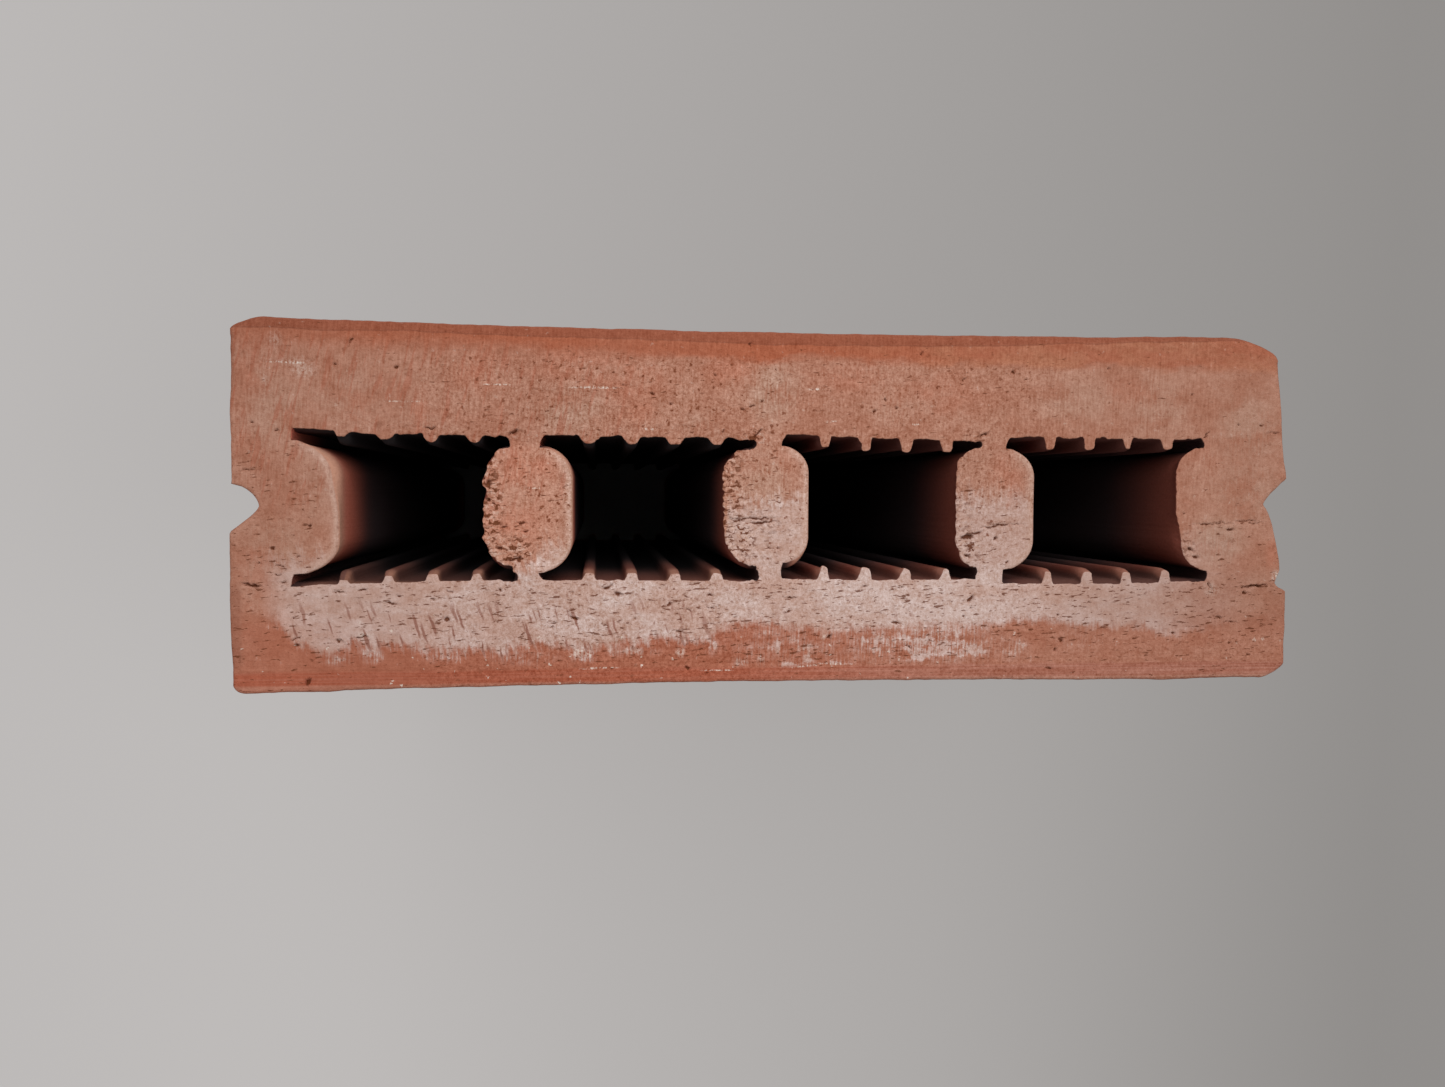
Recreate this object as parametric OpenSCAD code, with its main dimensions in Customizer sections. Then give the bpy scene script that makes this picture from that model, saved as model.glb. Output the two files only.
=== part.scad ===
// Extruded terracotta double floor tile, fired as one hollow block and split into two tiles on site.
// The section lies in X and Y and the extrusion runs up Z, so the block stands on one wire-cut end.
// X is the tile's width, +Y and -Y are the two walking faces. Millimetres.

/* [Block] */
// Width of the block across the cells
block_w = 200; // [160:1:260]
// Thickness of the block over both walking faces
block_t = 66.8; // [64:0.2:90]
// Length cut off the extruded column
block_len = 200; // [100:5:400]
// Radius on the long corners left by the die
corner_r = 3; // [1:0.5:6]
// Radius rubbed onto the outer edges of the wire-cut ends
cut_edge_r = 1.8; // [0.5:0.1:3]

/* [Tiles] */
// Thickness of each of the two tiles, without ribs
tile_t = 19.8; // [15:0.1:21]

/* [Cells] */
// Number of hollow cells side by side
cells = 4; // [2:1:5]
// Thickness of the end wall at -X, at mid height
wall_left = 17.5; // [14:0.5:24]
// Thickness of the end wall at +X, at mid height
wall_right = 22; // [14:0.5:26]

/* [Splitting webs] */
// Width of the thin neck that breaks when the block is split
neck_w = 4.9; // [3:0.1:8]
// Height of the slot beside each neck
slot_h = 1.9; // [1:0.1:2.8]
// Radius of the web's rounded shoulders
shoulder_r = 5.7; // [4:0.1:7]

/* [Keying ribs] */
// Ribs on the back of a tile in each cell
ribs = 4; // [2:1:5]
// Height of a rib above the back of the tile
rib_h = 2.2; // [1.2:0.1:3]
// Width of a rib where it leaves the tile
rib_root_w = 3; // [2.6:0.1:4]
// Radius of a rib's round crest
rib_crest_r = 1.05; // [0.8:0.05:1.2]

/* [Side notches] */
// Height of the notch's mouth in the side of the block
notch_mouth = 8.8; // [6:0.2:12]
// Depth of the notch
notch_depth = 4.6; // [3:0.1:6]
// Radius at the bottom of the notch
notch_r = 1.6; // [0.8:0.1:2.5]

/* [Hidden] */
$fn = 64;
// How far a cut runs past the face that it opens
overrun = 2;
// How far a joined shape is sunk into its neighbour
sink = 0.5;
// How far out on the notch's round bottom its flanks run in, a little inside so that they cross it
flank_share = 0.97;
terracotta = [0.72, 0.47, 0.38];
gap = block_t - 2 * tile_t;
web_w = neck_w + 2 * shoulder_r;
web_h = gap - 2 * slot_h;
cell_w = (block_w - wall_left - wall_right - (cells - 1) * web_w) / cells;
cell_pitch = cell_w + web_w;
cells_left = wall_left - block_w / 2;
back_w = cell_w + 2 * shoulder_r;
rib_pitch = back_w / (ribs + 1);

// Rectangle centred on the origin with round corners
module round_rect(w, h, r) {
    square([w, h - 2 * r], center = true);
    square([w - 2 * r, h], center = true);
    for (x = [-1, 1], y = [-1, 1])
        translate([x * (w / 2 - r), y * (h / 2 - r)]) circle(r);
}

// One keying rib standing on y = 0: tapered flanks under a round crest
module rib() {
    crest_y = rib_h - rib_crest_r;
    polygon([
        [-rib_root_w / 2, -sink],
        [rib_root_w / 2, -sink],
        [rib_root_w / 2, 0],
        [rib_crest_r, crest_y],
        [-rib_crest_r, crest_y],
        [-rib_root_w / 2, 0]
    ]);
    translate([0, crest_y]) circle(rib_crest_r);
}

// The ribs of one cell on the back of one tile, spread evenly between the necks
module rib_row() {
    for (k = [1 : ribs])
        translate([k * rib_pitch - back_w / 2, 0]) rib();
}

// The clear space of one cell, centred on the origin: the two slots reach in over the webs' shoulders
module cell() {
    difference() {
        square([back_w, gap], center = true);
        for (side = [-1, 1]) {
            translate([side * (cell_w + web_w) / 2, 0]) round_rect(web_w, web_h, shoulder_r);
            translate([0, side * gap / 2]) rotate(side > 0 ? 180 : 0) rib_row();
        }
    }
}

// Notch in the side at x = 0, its mouth towards -X: straight flanks that run into a round bottom
module notch() {
    centre_x = notch_depth - notch_r;
    half_mouth = notch_mouth / 2;
    reach = norm([centre_x, half_mouth]);
    seat_r = flank_share * notch_r;
    flank = atan2(half_mouth, centre_x) - asin(seat_r / reach);
    seat = [centre_x + seat_r * sin(flank), seat_r * cos(flank)];
    polygon([
        [-overrun, half_mouth],
        [0, half_mouth],
        seat,
        [seat.x, -seat.y],
        [0, -half_mouth],
        [-overrun, -half_mouth]
    ]);
    translate([centre_x, 0]) circle(notch_r);
}

// The block before its cells are opened: die corners along Z, rubbed edges round both cut ends
module eased_block() {
    intersection() {
        linear_extrude(block_len) round_rect(block_w, block_t, corner_r);
        translate([0, block_t / 2, block_len / 2]) rotate([90, 0, 0])
            linear_extrude(block_t) round_rect(block_w, block_len, cut_edge_r);
        translate([-block_w / 2, 0, block_len / 2]) rotate([90, 0, 90])
            linear_extrude(block_w) round_rect(block_t, block_len, cut_edge_r);
    }
}

// Everything that runs through the block from end to end
module channels() {
    for (k = [0 : cells - 1])
        translate([cells_left + cell_w / 2 + k * cell_pitch, 0]) cell();
    translate([-block_w / 2, 0]) notch();
    translate([block_w / 2, 0]) mirror([1, 0]) notch();
}

module double_tile() {
    color(terracotta)
    difference() {
        eased_block();
        translate([0, 0, -overrun]) linear_extrude(block_len + 2 * overrun) channels();
    }
}

double_tile();
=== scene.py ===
import math

import bpy
import numpy as np
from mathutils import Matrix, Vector
from mathutils.geometry import delaunay_2d_cdt


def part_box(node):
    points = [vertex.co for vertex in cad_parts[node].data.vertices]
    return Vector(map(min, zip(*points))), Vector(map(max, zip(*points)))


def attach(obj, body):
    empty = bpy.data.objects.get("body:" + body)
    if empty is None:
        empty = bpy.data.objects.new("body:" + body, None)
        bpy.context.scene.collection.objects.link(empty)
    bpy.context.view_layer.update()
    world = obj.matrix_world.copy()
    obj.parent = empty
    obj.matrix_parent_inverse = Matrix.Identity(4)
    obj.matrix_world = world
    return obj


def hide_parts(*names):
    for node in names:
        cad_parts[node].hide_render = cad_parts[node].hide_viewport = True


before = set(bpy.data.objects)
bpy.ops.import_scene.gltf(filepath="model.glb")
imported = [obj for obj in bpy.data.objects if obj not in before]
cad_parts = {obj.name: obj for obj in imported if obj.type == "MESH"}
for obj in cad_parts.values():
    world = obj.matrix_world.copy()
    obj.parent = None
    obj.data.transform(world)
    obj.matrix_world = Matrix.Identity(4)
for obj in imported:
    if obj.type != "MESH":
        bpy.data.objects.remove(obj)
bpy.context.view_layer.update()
print("frame loaded:", sorted(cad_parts))

mm = 0.001                                      # shapes are worked out in millimetres, written in metres
blockLow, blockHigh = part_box("double_tile")
halfWidth = (blockHigh.x - blockLow.x) / 2 / mm
halfThick = (blockHigh.y - blockLow.y) / 2 / mm
blockLength = (blockHigh.z - blockLow.z) / mm


# an s-curve that is 0 below low and 1 above high
def smoothStep(low, high, value):
    t = np.clip((value - low) / (high - low), 0, 1)
    return t * t * (3 - 2 * t)


# random heights on a unit grid, joined by s-curves, from -1 to 1
def valueNoise(x, y, seed):
    table = np.random.default_rng(seed).uniform(-1, 1, (256, 256))
    i, j = np.floor(x).astype(int), np.floor(y).astype(int)
    u, v = smoothStep(0, 1, x - i), smoothStep(0, 1, y - j)
    near = table[i % 256, j % 256] * (1 - u) + table[(i + 1) % 256, j % 256] * u
    far = table[i % 256, (j + 1) % 256] * (1 - u) + table[(i + 1) % 256, (j + 1) % 256] * u
    return near * (1 - v) + far * v


# value noise summed over octaves, each twice as fine and half as strong
def roughNoise(x, y, seed, octaves=3):
    total = sum(valueNoise(x * 2 ** k, y * 2 ** k, seed + k) / 2 ** k for k in range(octaves))
    return total / (2 - 2 ** (1 - octaves))


# an open line as so many points an equal distance apart, its last point left out
def resample(line, count):
    along = np.concatenate([[0], np.cumsum(np.hypot(*np.diff(line, axis=0).T))])
    want = np.linspace(0, along[-1], count, endpoint=False)
    return np.column_stack([np.interp(want, along, line[:, k]) for k in range(2)])


# unit normals of a closed anticlockwise loop, pointing to its outside
def loopNormals(loop):
    ahead = np.roll(loop, -1, 0) - np.roll(loop, 1, 0)
    ahead /= np.linalg.norm(ahead, axis=1)[:, None]
    return np.column_stack([ahead[:, 1], -ahead[:, 0]])


# radius of the curve that a loop takes at each of its points
def loopRadius(loop, span):
    behind, ahead = loop - np.roll(loop, span, 0), np.roll(loop, -span, 0) - loop
    cross = behind[:, 0] * ahead[:, 1] - behind[:, 1] * ahead[:, 0]
    turn = np.arctan2(np.abs(cross), (behind * ahead).sum(axis=1))
    reach = (np.linalg.norm(behind, axis=1) + np.linalg.norm(ahead, axis=1)) / 2
    return reach / np.maximum(turn, 1e-3)


# lowest value within so many neighbours on a loop, then averaged over as many
def softened(values, span):
    lowest = np.min([np.roll(values, k) for k in range(-span, span + 1)], axis=0)
    return np.mean([np.roll(lowest, k) for k in range(-span, span + 1)], axis=0)


# distance along a closed loop at each of its points
def alongLoop(loop):
    steps = np.hypot(*(np.roll(loop, -1, 0) - loop).T)
    return np.concatenate([[0], np.cumsum(steps)[:-1]])


# Outer outline of the section

block = {
    # corners: radii along x and y, and the power of the curve (2 an ellipse, 1 a bevel)
    "dieCorners": [(2.6, 2.4, 2)] * 4,
    "wornCorners": [(12.4, 4.7, 1.7), (5.8, 2.4, 1.45), (2.2, 1.8, 2), (4.8, 3.0, 1.35)],
    "bowUpper": (-0.15, 0.8),                   # drying bow: offset at mid width and gain at bowReach
    "bowLower": (-0.6, 0.8),
    "bowReach": 85,
    "bowSpan": (5, 30),                         # where the bow comes in; spans run from none to full
    "sideSpan": (90, 97),
    "riseRight": 0.55,                          # how far the lower face rises at its right end
    "riseSpan": (74, 95),
    "swellLeft": 0.5,                           # how far the left side stands out below its notch
    "swellSpan": (3, -7),
    "tuckLeft": 0.3,                            # how far it is tucked in at its foot
    "tuckSpan": (-22, -32),
    "swellRight": 0.6,                          # how far the right side stands out as a whole
    "lipRight": 0.7,                            # how much further above its notch
    "lipPlace": (6.2, 3),                       # middle of that lip and half its height
    "shelfRight": 1.1,                          # how much further along the lower tile
    "shelfSpan": (15.2, 16),
    "leanRight": 1.3,                           # how far its upper part leans in
    "leanSpan": (6, 30),
    # notches: middle, reach up and down, depth, and two powers for the upper and the lower flank
    "dieNotch": {"centre": 0, "up": 4.4, "down": 4.4, "depth": 4.6, "curve": (1.3, 1.0, 1.3, 1.0)},
    "leftNotch": {"centre": 0.1, "up": 4.0, "down": 4.6, "depth": 4.9, "curve": (1.5, 0.5, 1.25, 1.0)},
    "rightNotch": {"centre": 1.0, "up": 5.2, "down": 15, "depth": 4.1, "curve": (1.35, 0.95, 0.6, 1.3)},
    "nickRight": {"centre": -14.4, "up": 2.4, "down": 1.1, "depth": 1.2, "curve": (1.2, 1.0, 1.2, 1.0)},
    "cornerPoints": 14,
    "sidePoints": 140,
    "facePoints": 346,
    "cornerSamples": 200,
    "seed": 11,
    "wander": 0.16,                             # unevenness of the worn outline
    "wanderLengths": (7, 1.6),
    "dieWear": 0.25,                            # share of the sides' wear that runs down the whole block
    "fade": 14,                                 # depth over which the rest of the wear fades out
    "ease": 0.55,                               # radius of the top edge, with what the faces and chance add
    "easeUpper": 0.85,
    "easeLower": 0.15,
    "easeSpan": (20, 30),
    "easeUneven": 0.2,
    "easeLength": 5,
    "easeLimit": 0.45,                          # largest share of the outline's radius that an edge takes
    "bottomEase": 0.9,
}


# depth of a groove: full at its centre, falling to nothing up and down, each flank with its own two powers
def grooveDepth(y, groove):
    above = y > groove["centre"]
    away = np.clip(np.abs(y - groove["centre"]) / np.where(above, groove["up"], groove["down"]), 0, 1)
    upperRound, upperFall, lowerRound, lowerFall = groove["curve"]
    upper, lower = (1 - away ** upperRound) ** upperFall, (1 - away ** lowerRound) ** lowerFall
    return groove["depth"] * np.where(above, upper, lower)


# rectangle with superelliptic corners, anticlockwise from the head of its right side, corners and sides each in
# a fixed number of points
def cornerRectangle(corners):
    signs = [(1, 1), (-1, 1), (-1, -1), (1, -1)]
    counts = [block["facePoints"], block["sidePoints"]] * 2
    turn = np.linspace(0, np.pi / 2, block["cornerSamples"])
    starts, ends, arcs = [], [], []
    for quarter, ((signX, signY), (radiusX, radiusY, power)) in enumerate(zip(signs, corners)):
        centre = np.array([signX * (halfWidth - radiusX), signY * (halfThick - radiusY)])
        angle = turn + quarter * np.pi / 2
        spread = np.array([radiusX, radiusY])
        circle = np.column_stack([np.cos(angle), np.sin(angle)])
        arc = centre + spread * np.sign(circle) * np.abs(circle) ** (2 / power)
        arcs.append(resample(arc, block["cornerPoints"]))
        over = (quarter + 1) * np.pi / 2
        starts.append(centre + spread * np.round([np.cos(over), np.sin(over)]))
        ends.append(arcs[-1][0])
    pieces = []
    for quarter in range(4):
        side = np.array([starts[quarter], ends[(quarter + 1) % 4]])
        pieces += [arcs[quarter], resample(side, counts[quarter])]
    return np.concatenate(pieces)


# the rectangle bowed by drying, with its side notches; worn adds what standing about did to the sides
def blockOutline(corners, leftNotch, rightNotch, worn):
    x, y = cornerRectangle(corners).T
    swing = (x / block["bowReach"]) ** 2
    bowed = [offset + gain * swing for offset, gain in (block["bowUpper"], block["bowLower"])]
    bowed[1] = bowed[1] - worn * block["riseRight"] * smoothStep(*block["riseSpan"], x)
    y = y + smoothStep(*block["bowSpan"], y) * bowed[0] - smoothStep(*block["bowSpan"], -y) * bowed[1]
    onRight, onLeft = smoothStep(*block["sideSpan"], x), smoothStep(*block["sideSpan"], -x)
    lipMiddle, lipReach = block["lipPlace"]
    out = block["swellRight"] + block["lipRight"] * np.exp(-((y - lipMiddle) / lipReach) ** 2)
    out = out + block["shelfRight"] * smoothStep(*block["shelfSpan"], -y)
    out = out - block["leanRight"] * smoothStep(*block["leanSpan"], y)
    out = out - grooveDepth(y, block["nickRight"])
    x = x + onRight * (worn * out - grooveDepth(y, rightNotch))
    out = block["swellLeft"] * smoothStep(*block["swellSpan"], y)
    out = out - block["tuckLeft"] * smoothStep(*block["tuckSpan"], y)
    x = x - onLeft * (worn * out - grooveDepth(y, leftNotch))
    return np.column_stack([x, y])


# weights round a loop that say how the walls of a cell look, none of them on the block's outside: pale and
# smooth for the smooth sides (burnished clay with painted light), ragged for crumbled clay, and dark, lit, dim
# and glow for painted light and shade
cellLooks = ("pale", "smooth", "ragged", "dark", "lit", "dim", "glow")


# outside of the block: the die's outline, and at the cut end the worn one, shaken by two noises; the edge's
# radius grows towards both faces
def makeBlockLoop():
    die = blockOutline(block["dieCorners"], block["dieNotch"], block["dieNotch"], block["dieWear"])
    cut = blockOutline(block["wornCorners"], block["leftNotch"], block["rightNotch"], 1)
    s = alongLoop(cut)
    lengths = block["wanderLengths"]
    slow, quick = [roughNoise(s / length, 0 * s, block["seed"] + k) for k, length in enumerate(lengths)]
    outward = loopNormals(cut)
    cut = cut + outward * (block["wander"] * (slow + 0.5 * quick))[:, None]
    upper, lower = smoothStep(*block["easeSpan"], cut[:, 1]), smoothStep(*block["easeSpan"], -cut[:, 1])
    ease = block["ease"] + block["easeUpper"] * upper + block["easeLower"] * lower
    ease = ease + block["easeUneven"] * roughNoise(s / block["easeLength"], 0 * s, block["seed"] + 2)
    ease = np.minimum(ease, block["easeLimit"] * softened(loopRadius(cut, 3), 6))
    return {"cut": cut, "die": die, "normals": outward, "ease": ease, "fade": block["fade"], "claySide": -1,
            "bottomEase": block["bottomEase"], **dict.fromkeys(cellLooks, 0 * s)}


# The four cells

# the cells at the cut end, as the wire left them. faces: x of the two webs' faces, and leans how far these
# lean; slots: x of the slots' four ends, anticlockwise from the lower left, with slants at their outer corners
# and lips as the height of their inner ones; shoulders: heights of the webs' rounded shoulders; backs: bent
# lines; ribs: widths of the two flanks and the crest, then each rib's height. Looks: rag for crumbled clay,
# gloom and roof for painted shade on the lower and upper back, glow for painted light on the lower back,
# slotGlow for painted light in the lower and upper slot end at the left
cellRow = [
    {
        "faces": (-81.2, -55.5), "leans": (-1.3, 0.0),
        "rag": 0.9, "gloom": 0.4, "roof": 1.0, "glow": 0.8, "slotGlow": (0.25, 1.0),
        "slots": (-89.2, -50.3, -50.6, -89.4), "slants": (-0.6, 0.8, -0.3, 0.1),
        "lips": (-12.2, -10.9, 11.3, 12.1), "shoulders": ((6.0, 6.0), (8.6, 7.0)), "ribX": -68.6,
        "lowerBack": [(-90, -14.3), (-82, -13.9), (-70, -13.55), (-50, -13.15)],
        "upperBack": [(-89.5, 14.3), (-83, 13.95), (-77, 13.38), (-58, 13.28), (-54, 13.1), (-50, 12.6)],
        "lowerRib": (0.75, 0.65, 1.4), "lowerHeights": (0.7, 1.3, 1.35, 1.3),
        "upperRib": (0.9, 2.2, 1.0), "upperHeights": (1.05, 1.05, 1.4, 1.35),
    },
    {
        "faces": (-39.2, -11.0), "leans": (0.0, 0.0),
        "rag": 0.8, "gloom": 0.0, "roof": 1.0, "glow": 0.8, "slotGlow": (0.3, 1.0),
        "slots": (-45.5, -4.9, -5.4, -45.2), "slants": (1.0, 0.2, -0.1, 1.0),
        "lips": (-12.0, -10.7, 11.5, 11.2), "shoulders": ((6.2, 6.4), (4.8, 6.0)), "ribX": -24.3,
        "lowerBack": [(-46, -13.3), (-4, -13.5)],
        "upperBack": [(-46, 13.5), (-30, 13.17), (-14, 13.27), (-5, 12.8)],
        "lowerRib": (0.8, 0.6, 1.3), "lowerHeights": (1.3, 1.35, 1.3, 1.4),
        "upperRib": (1.3, 1.1, 1.6), "upperHeights": (1.35, 1.3, 1.4, 1.3),
    },
    {
        "faces": (5.2, 33.8), "leans": (0.0, 0.0),
        "rag": 0.5, "gloom": 0.0, "roof": 0.72, "glow": 0.15, "slotGlow": (0, 0),
        "slots": (0.3, 37.9, 38.5, -0.1), "slants": (-0.1, 0.1, -0.3, 0.9),
        "lips": (-10.2, -11.2, 11.9, 11.9), "shoulders": ((4.9, 4.8), (5.2, 6.4)), "ribX": 19.9,
        "lowerBack": [(0, -13.1), (8, -13.4), (38, -13.5)],
        "upperBack": [(0, 14.05), (12, 13.62), (28, 13.32), (39, 12.9)],
        "lowerRib": (1.2, 0.45, 1.2), "lowerHeights": (2.75, 2.35, 2.2, 2.1),
        "upperRib": (1.0, 0.6, 1.5), "upperHeights": (2.3, 2.4, 2.55, 2.4),
    },
    {
        "faces": (49.5, 78.2), "leans": (0.0, 1.3),
        "rag": 0.25, "gloom": 0.4, "roof": 0.72, "glow": 0.0, "slotGlow": (0, 0),
        "slots": (43.4, 84.8, 83.6, 43.6), "slants": (0.1, -0.3, -0.6, 0.7),
        "lips": (-11.6, -12.0, 12.3, 11.7), "shoulders": ((5.4, 5.6), (5.6, 5.2)), "ribX": 64.25,
        "lowerBack": [(43, -14.3), (70, -14.3), (85, -13.9)],
        "upperBack": [(43, 13.95), (66, 13.85), (78, 13.85), (84, 13.9)],
        "lowerRib": (0.75, 0.45, 1.4), "lowerHeights": (2.45, 2.3, 2.3, 2.3),
        "upperRib": (0.8, 0.5, 1.5), "upperHeights": (2.35, 2.2, 2.1, 2.05),
    },
]

cellForm = {
    "dieShoulder": (5.9, 5.9),                  # height of the webs' rounded shoulders as the die leaves them
    "dieBack": 13.6,
    "dieLip": 11.6,
    "dieRib": (2.2, 0.55, 0.55, 1.9),           # a rib: height, then widths of its two flanks and its crest
    "crestDip": 0.3,                            # how much lower a rib's crest is at its edges
    "ribPitch": 7.93,
    "ribSpread": 0.2,                           # how uneven the wire left the ribs
    "burr": 0.5,                                # clay that the wire pulled over the edges that face left
    "slotBulge": (-0.15, 0.35),                 # how far the left and right slot ends bulge into the necks
    "points": {"rib": 18, "gap": 14, "endGap": 20, "slotEnd": 8},
    "smoothSide": (17, 20),                     # points of a shoulder and of the face between two shoulders
    "raggedSide": (32, 56),
    "samples": {"gap": 20, "rib": 61, "shoulder": 40, "slotEnd": 30},
    "ribSeed": 20,
    "seed": 21,
    # lengths of the noises that crumble a cell's edge
    "grit": {"coarse": 2.6, "fine": 1.0, "bites": 1.7, "lumps": 2.3, "creases": 1.2, "nicks": 1.5},
    "fade": 1.6,                                # depth over which the wire's wear fades out
    "easeLimit": 0.5,
    "bottomEase": 0.25,
}


# back of a tile from one slot end to the other: a bent line with four ribs, whose flanks rise by s-curves to
# round crests
def ribbedBack(startX, endX, line, ribs, ribMiddle):
    counts, samples = cellForm["points"], cellForm["samples"]
    way = 1 if endX > startX else -1
    inward = 1 if line[0][1] < 0 else -1
    knots = np.array(line, float)

    def backAt(x):
        return np.interp(x, knots[:, 0], knots[:, 1])

    def flat(fromX, toX, count):
        x = np.linspace(fromX, toX, samples["gap"])
        return resample(np.column_stack([x, backAt(x)]), count)

    centres = ribMiddle + way * cellForm["ribPitch"] * (np.arange(4) - 1.5)
    pieces, x = [], startX
    for k, (centre, (height, leftFlank, rightFlank, crest)) in enumerate(zip(centres, ribs)):
        half = (leftFlank + crest + rightFlank) / 2
        u = np.linspace(-half, half, samples["rib"]) * way
        rise = smoothStep(0, leftFlank, u + half) * smoothStep(0, rightFlank, half - u)
        rise = rise * (1 - cellForm["crestDip"] * (u / half) ** 2)
        pieces.append(flat(x, centre - way * half, counts["endGap" if k == 0 else "gap"]))
        rib = np.column_stack([centre + u, backAt(centre + u) + inward * height * rise])
        pieces.append(resample(rib, counts["rib"]))
        x = centre + way * half
    pieces.append(flat(x, endX, counts["endGap"]))
    return np.concatenate(pieces)


# barrel side of a web: quarter ellipses from each slot lip into a straight face
def barrelSide(fromX, toX, faceX, fromY, toY, reach, points):
    way = 1 if toY > fromY else -1
    quarter = np.linspace(np.pi / 2, 0, cellForm["samples"]["shoulder"])
    first = np.column_stack([faceX + (fromX - faceX) * (1 - np.cos(quarter)),
                             fromY + way * reach[0] * (1 - np.sin(quarter))])
    last = np.column_stack([faceX + (toX - faceX) * (1 - np.cos(quarter[::-1])),
                            toY - way * reach[1] * (1 - np.sin(quarter[::-1]))])
    face = np.array([first[-1], last[0]])
    return np.concatenate([resample(first, points[0]), resample(face, points[1]), resample(last, points[0])])


# end of a slot: a line from corner to corner, bulging by half a sine wave
def slotEnd(first, last, bulge):
    t = np.linspace(0, 1, cellForm["samples"]["slotEnd"])
    bent = np.column_stack([np.interp(t, [0, 1], pair) for pair in zip(first, last)])
    bent[:, 0] += bulge * np.sin(np.pi * t)
    return resample(bent, cellForm["points"]["slotEnd"])


# one cell, anticlockwise from its lower left slot end, with a weight for each of its four sides (lower back,
# right side, upper back, left side) and one for the left ends of its slots
def cellLoop(slots, slants, lips, backs, faces, shoulders, ribs, ribMiddle):
    lipEnds = list(zip(slots, lips))
    ends = [slot + slant for slot, slant in zip(slots, slants)]
    lower = ribbedBack(ends[0], ends[1], backs[0], ribs[0], ribMiddle)
    upper = ribbedBack(ends[2], ends[3], backs[1], ribs[1], ribMiddle)
    leftBulge, rightBulge = cellForm["slotBulge"]
    upperY = np.interp(ends, *np.array(backs[1], float).T)
    lowerY = np.interp(ends, *np.array(backs[0], float).T)
    pieces = [
        lower,
        slotEnd((ends[1], lowerY[1]), lipEnds[1], rightBulge),
        barrelSide(slots[1], slots[2], faces[1], lips[1], lips[2], shoulders[1][::-1], cellForm["raggedSide"]),
        slotEnd(lipEnds[2], (ends[2], upperY[2]), rightBulge),
        upper,
        slotEnd((ends[3], upperY[3]), lipEnds[3], leftBulge),
        barrelSide(slots[3], slots[0], faces[0], lips[3], lips[0], shoulders[0], cellForm["smoothSide"]),
        slotEnd(lipEnds[0], (ends[0], lowerY[0]), leftBulge),
    ]
    weights = []
    for side in (0, 2, 4, 6):
        t = np.concatenate([np.linspace(0, k == side, len(piece)) for k, piece in enumerate(pieces)])
        weights.append(smoothStep(0, 0.12, t) * smoothStep(1, 0.88, t))
    weights.append(np.concatenate([np.full(len(piece), float(k in (5, 7))) for k, piece in enumerate(pieces)]))
    return np.concatenate(pieces), weights
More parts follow.
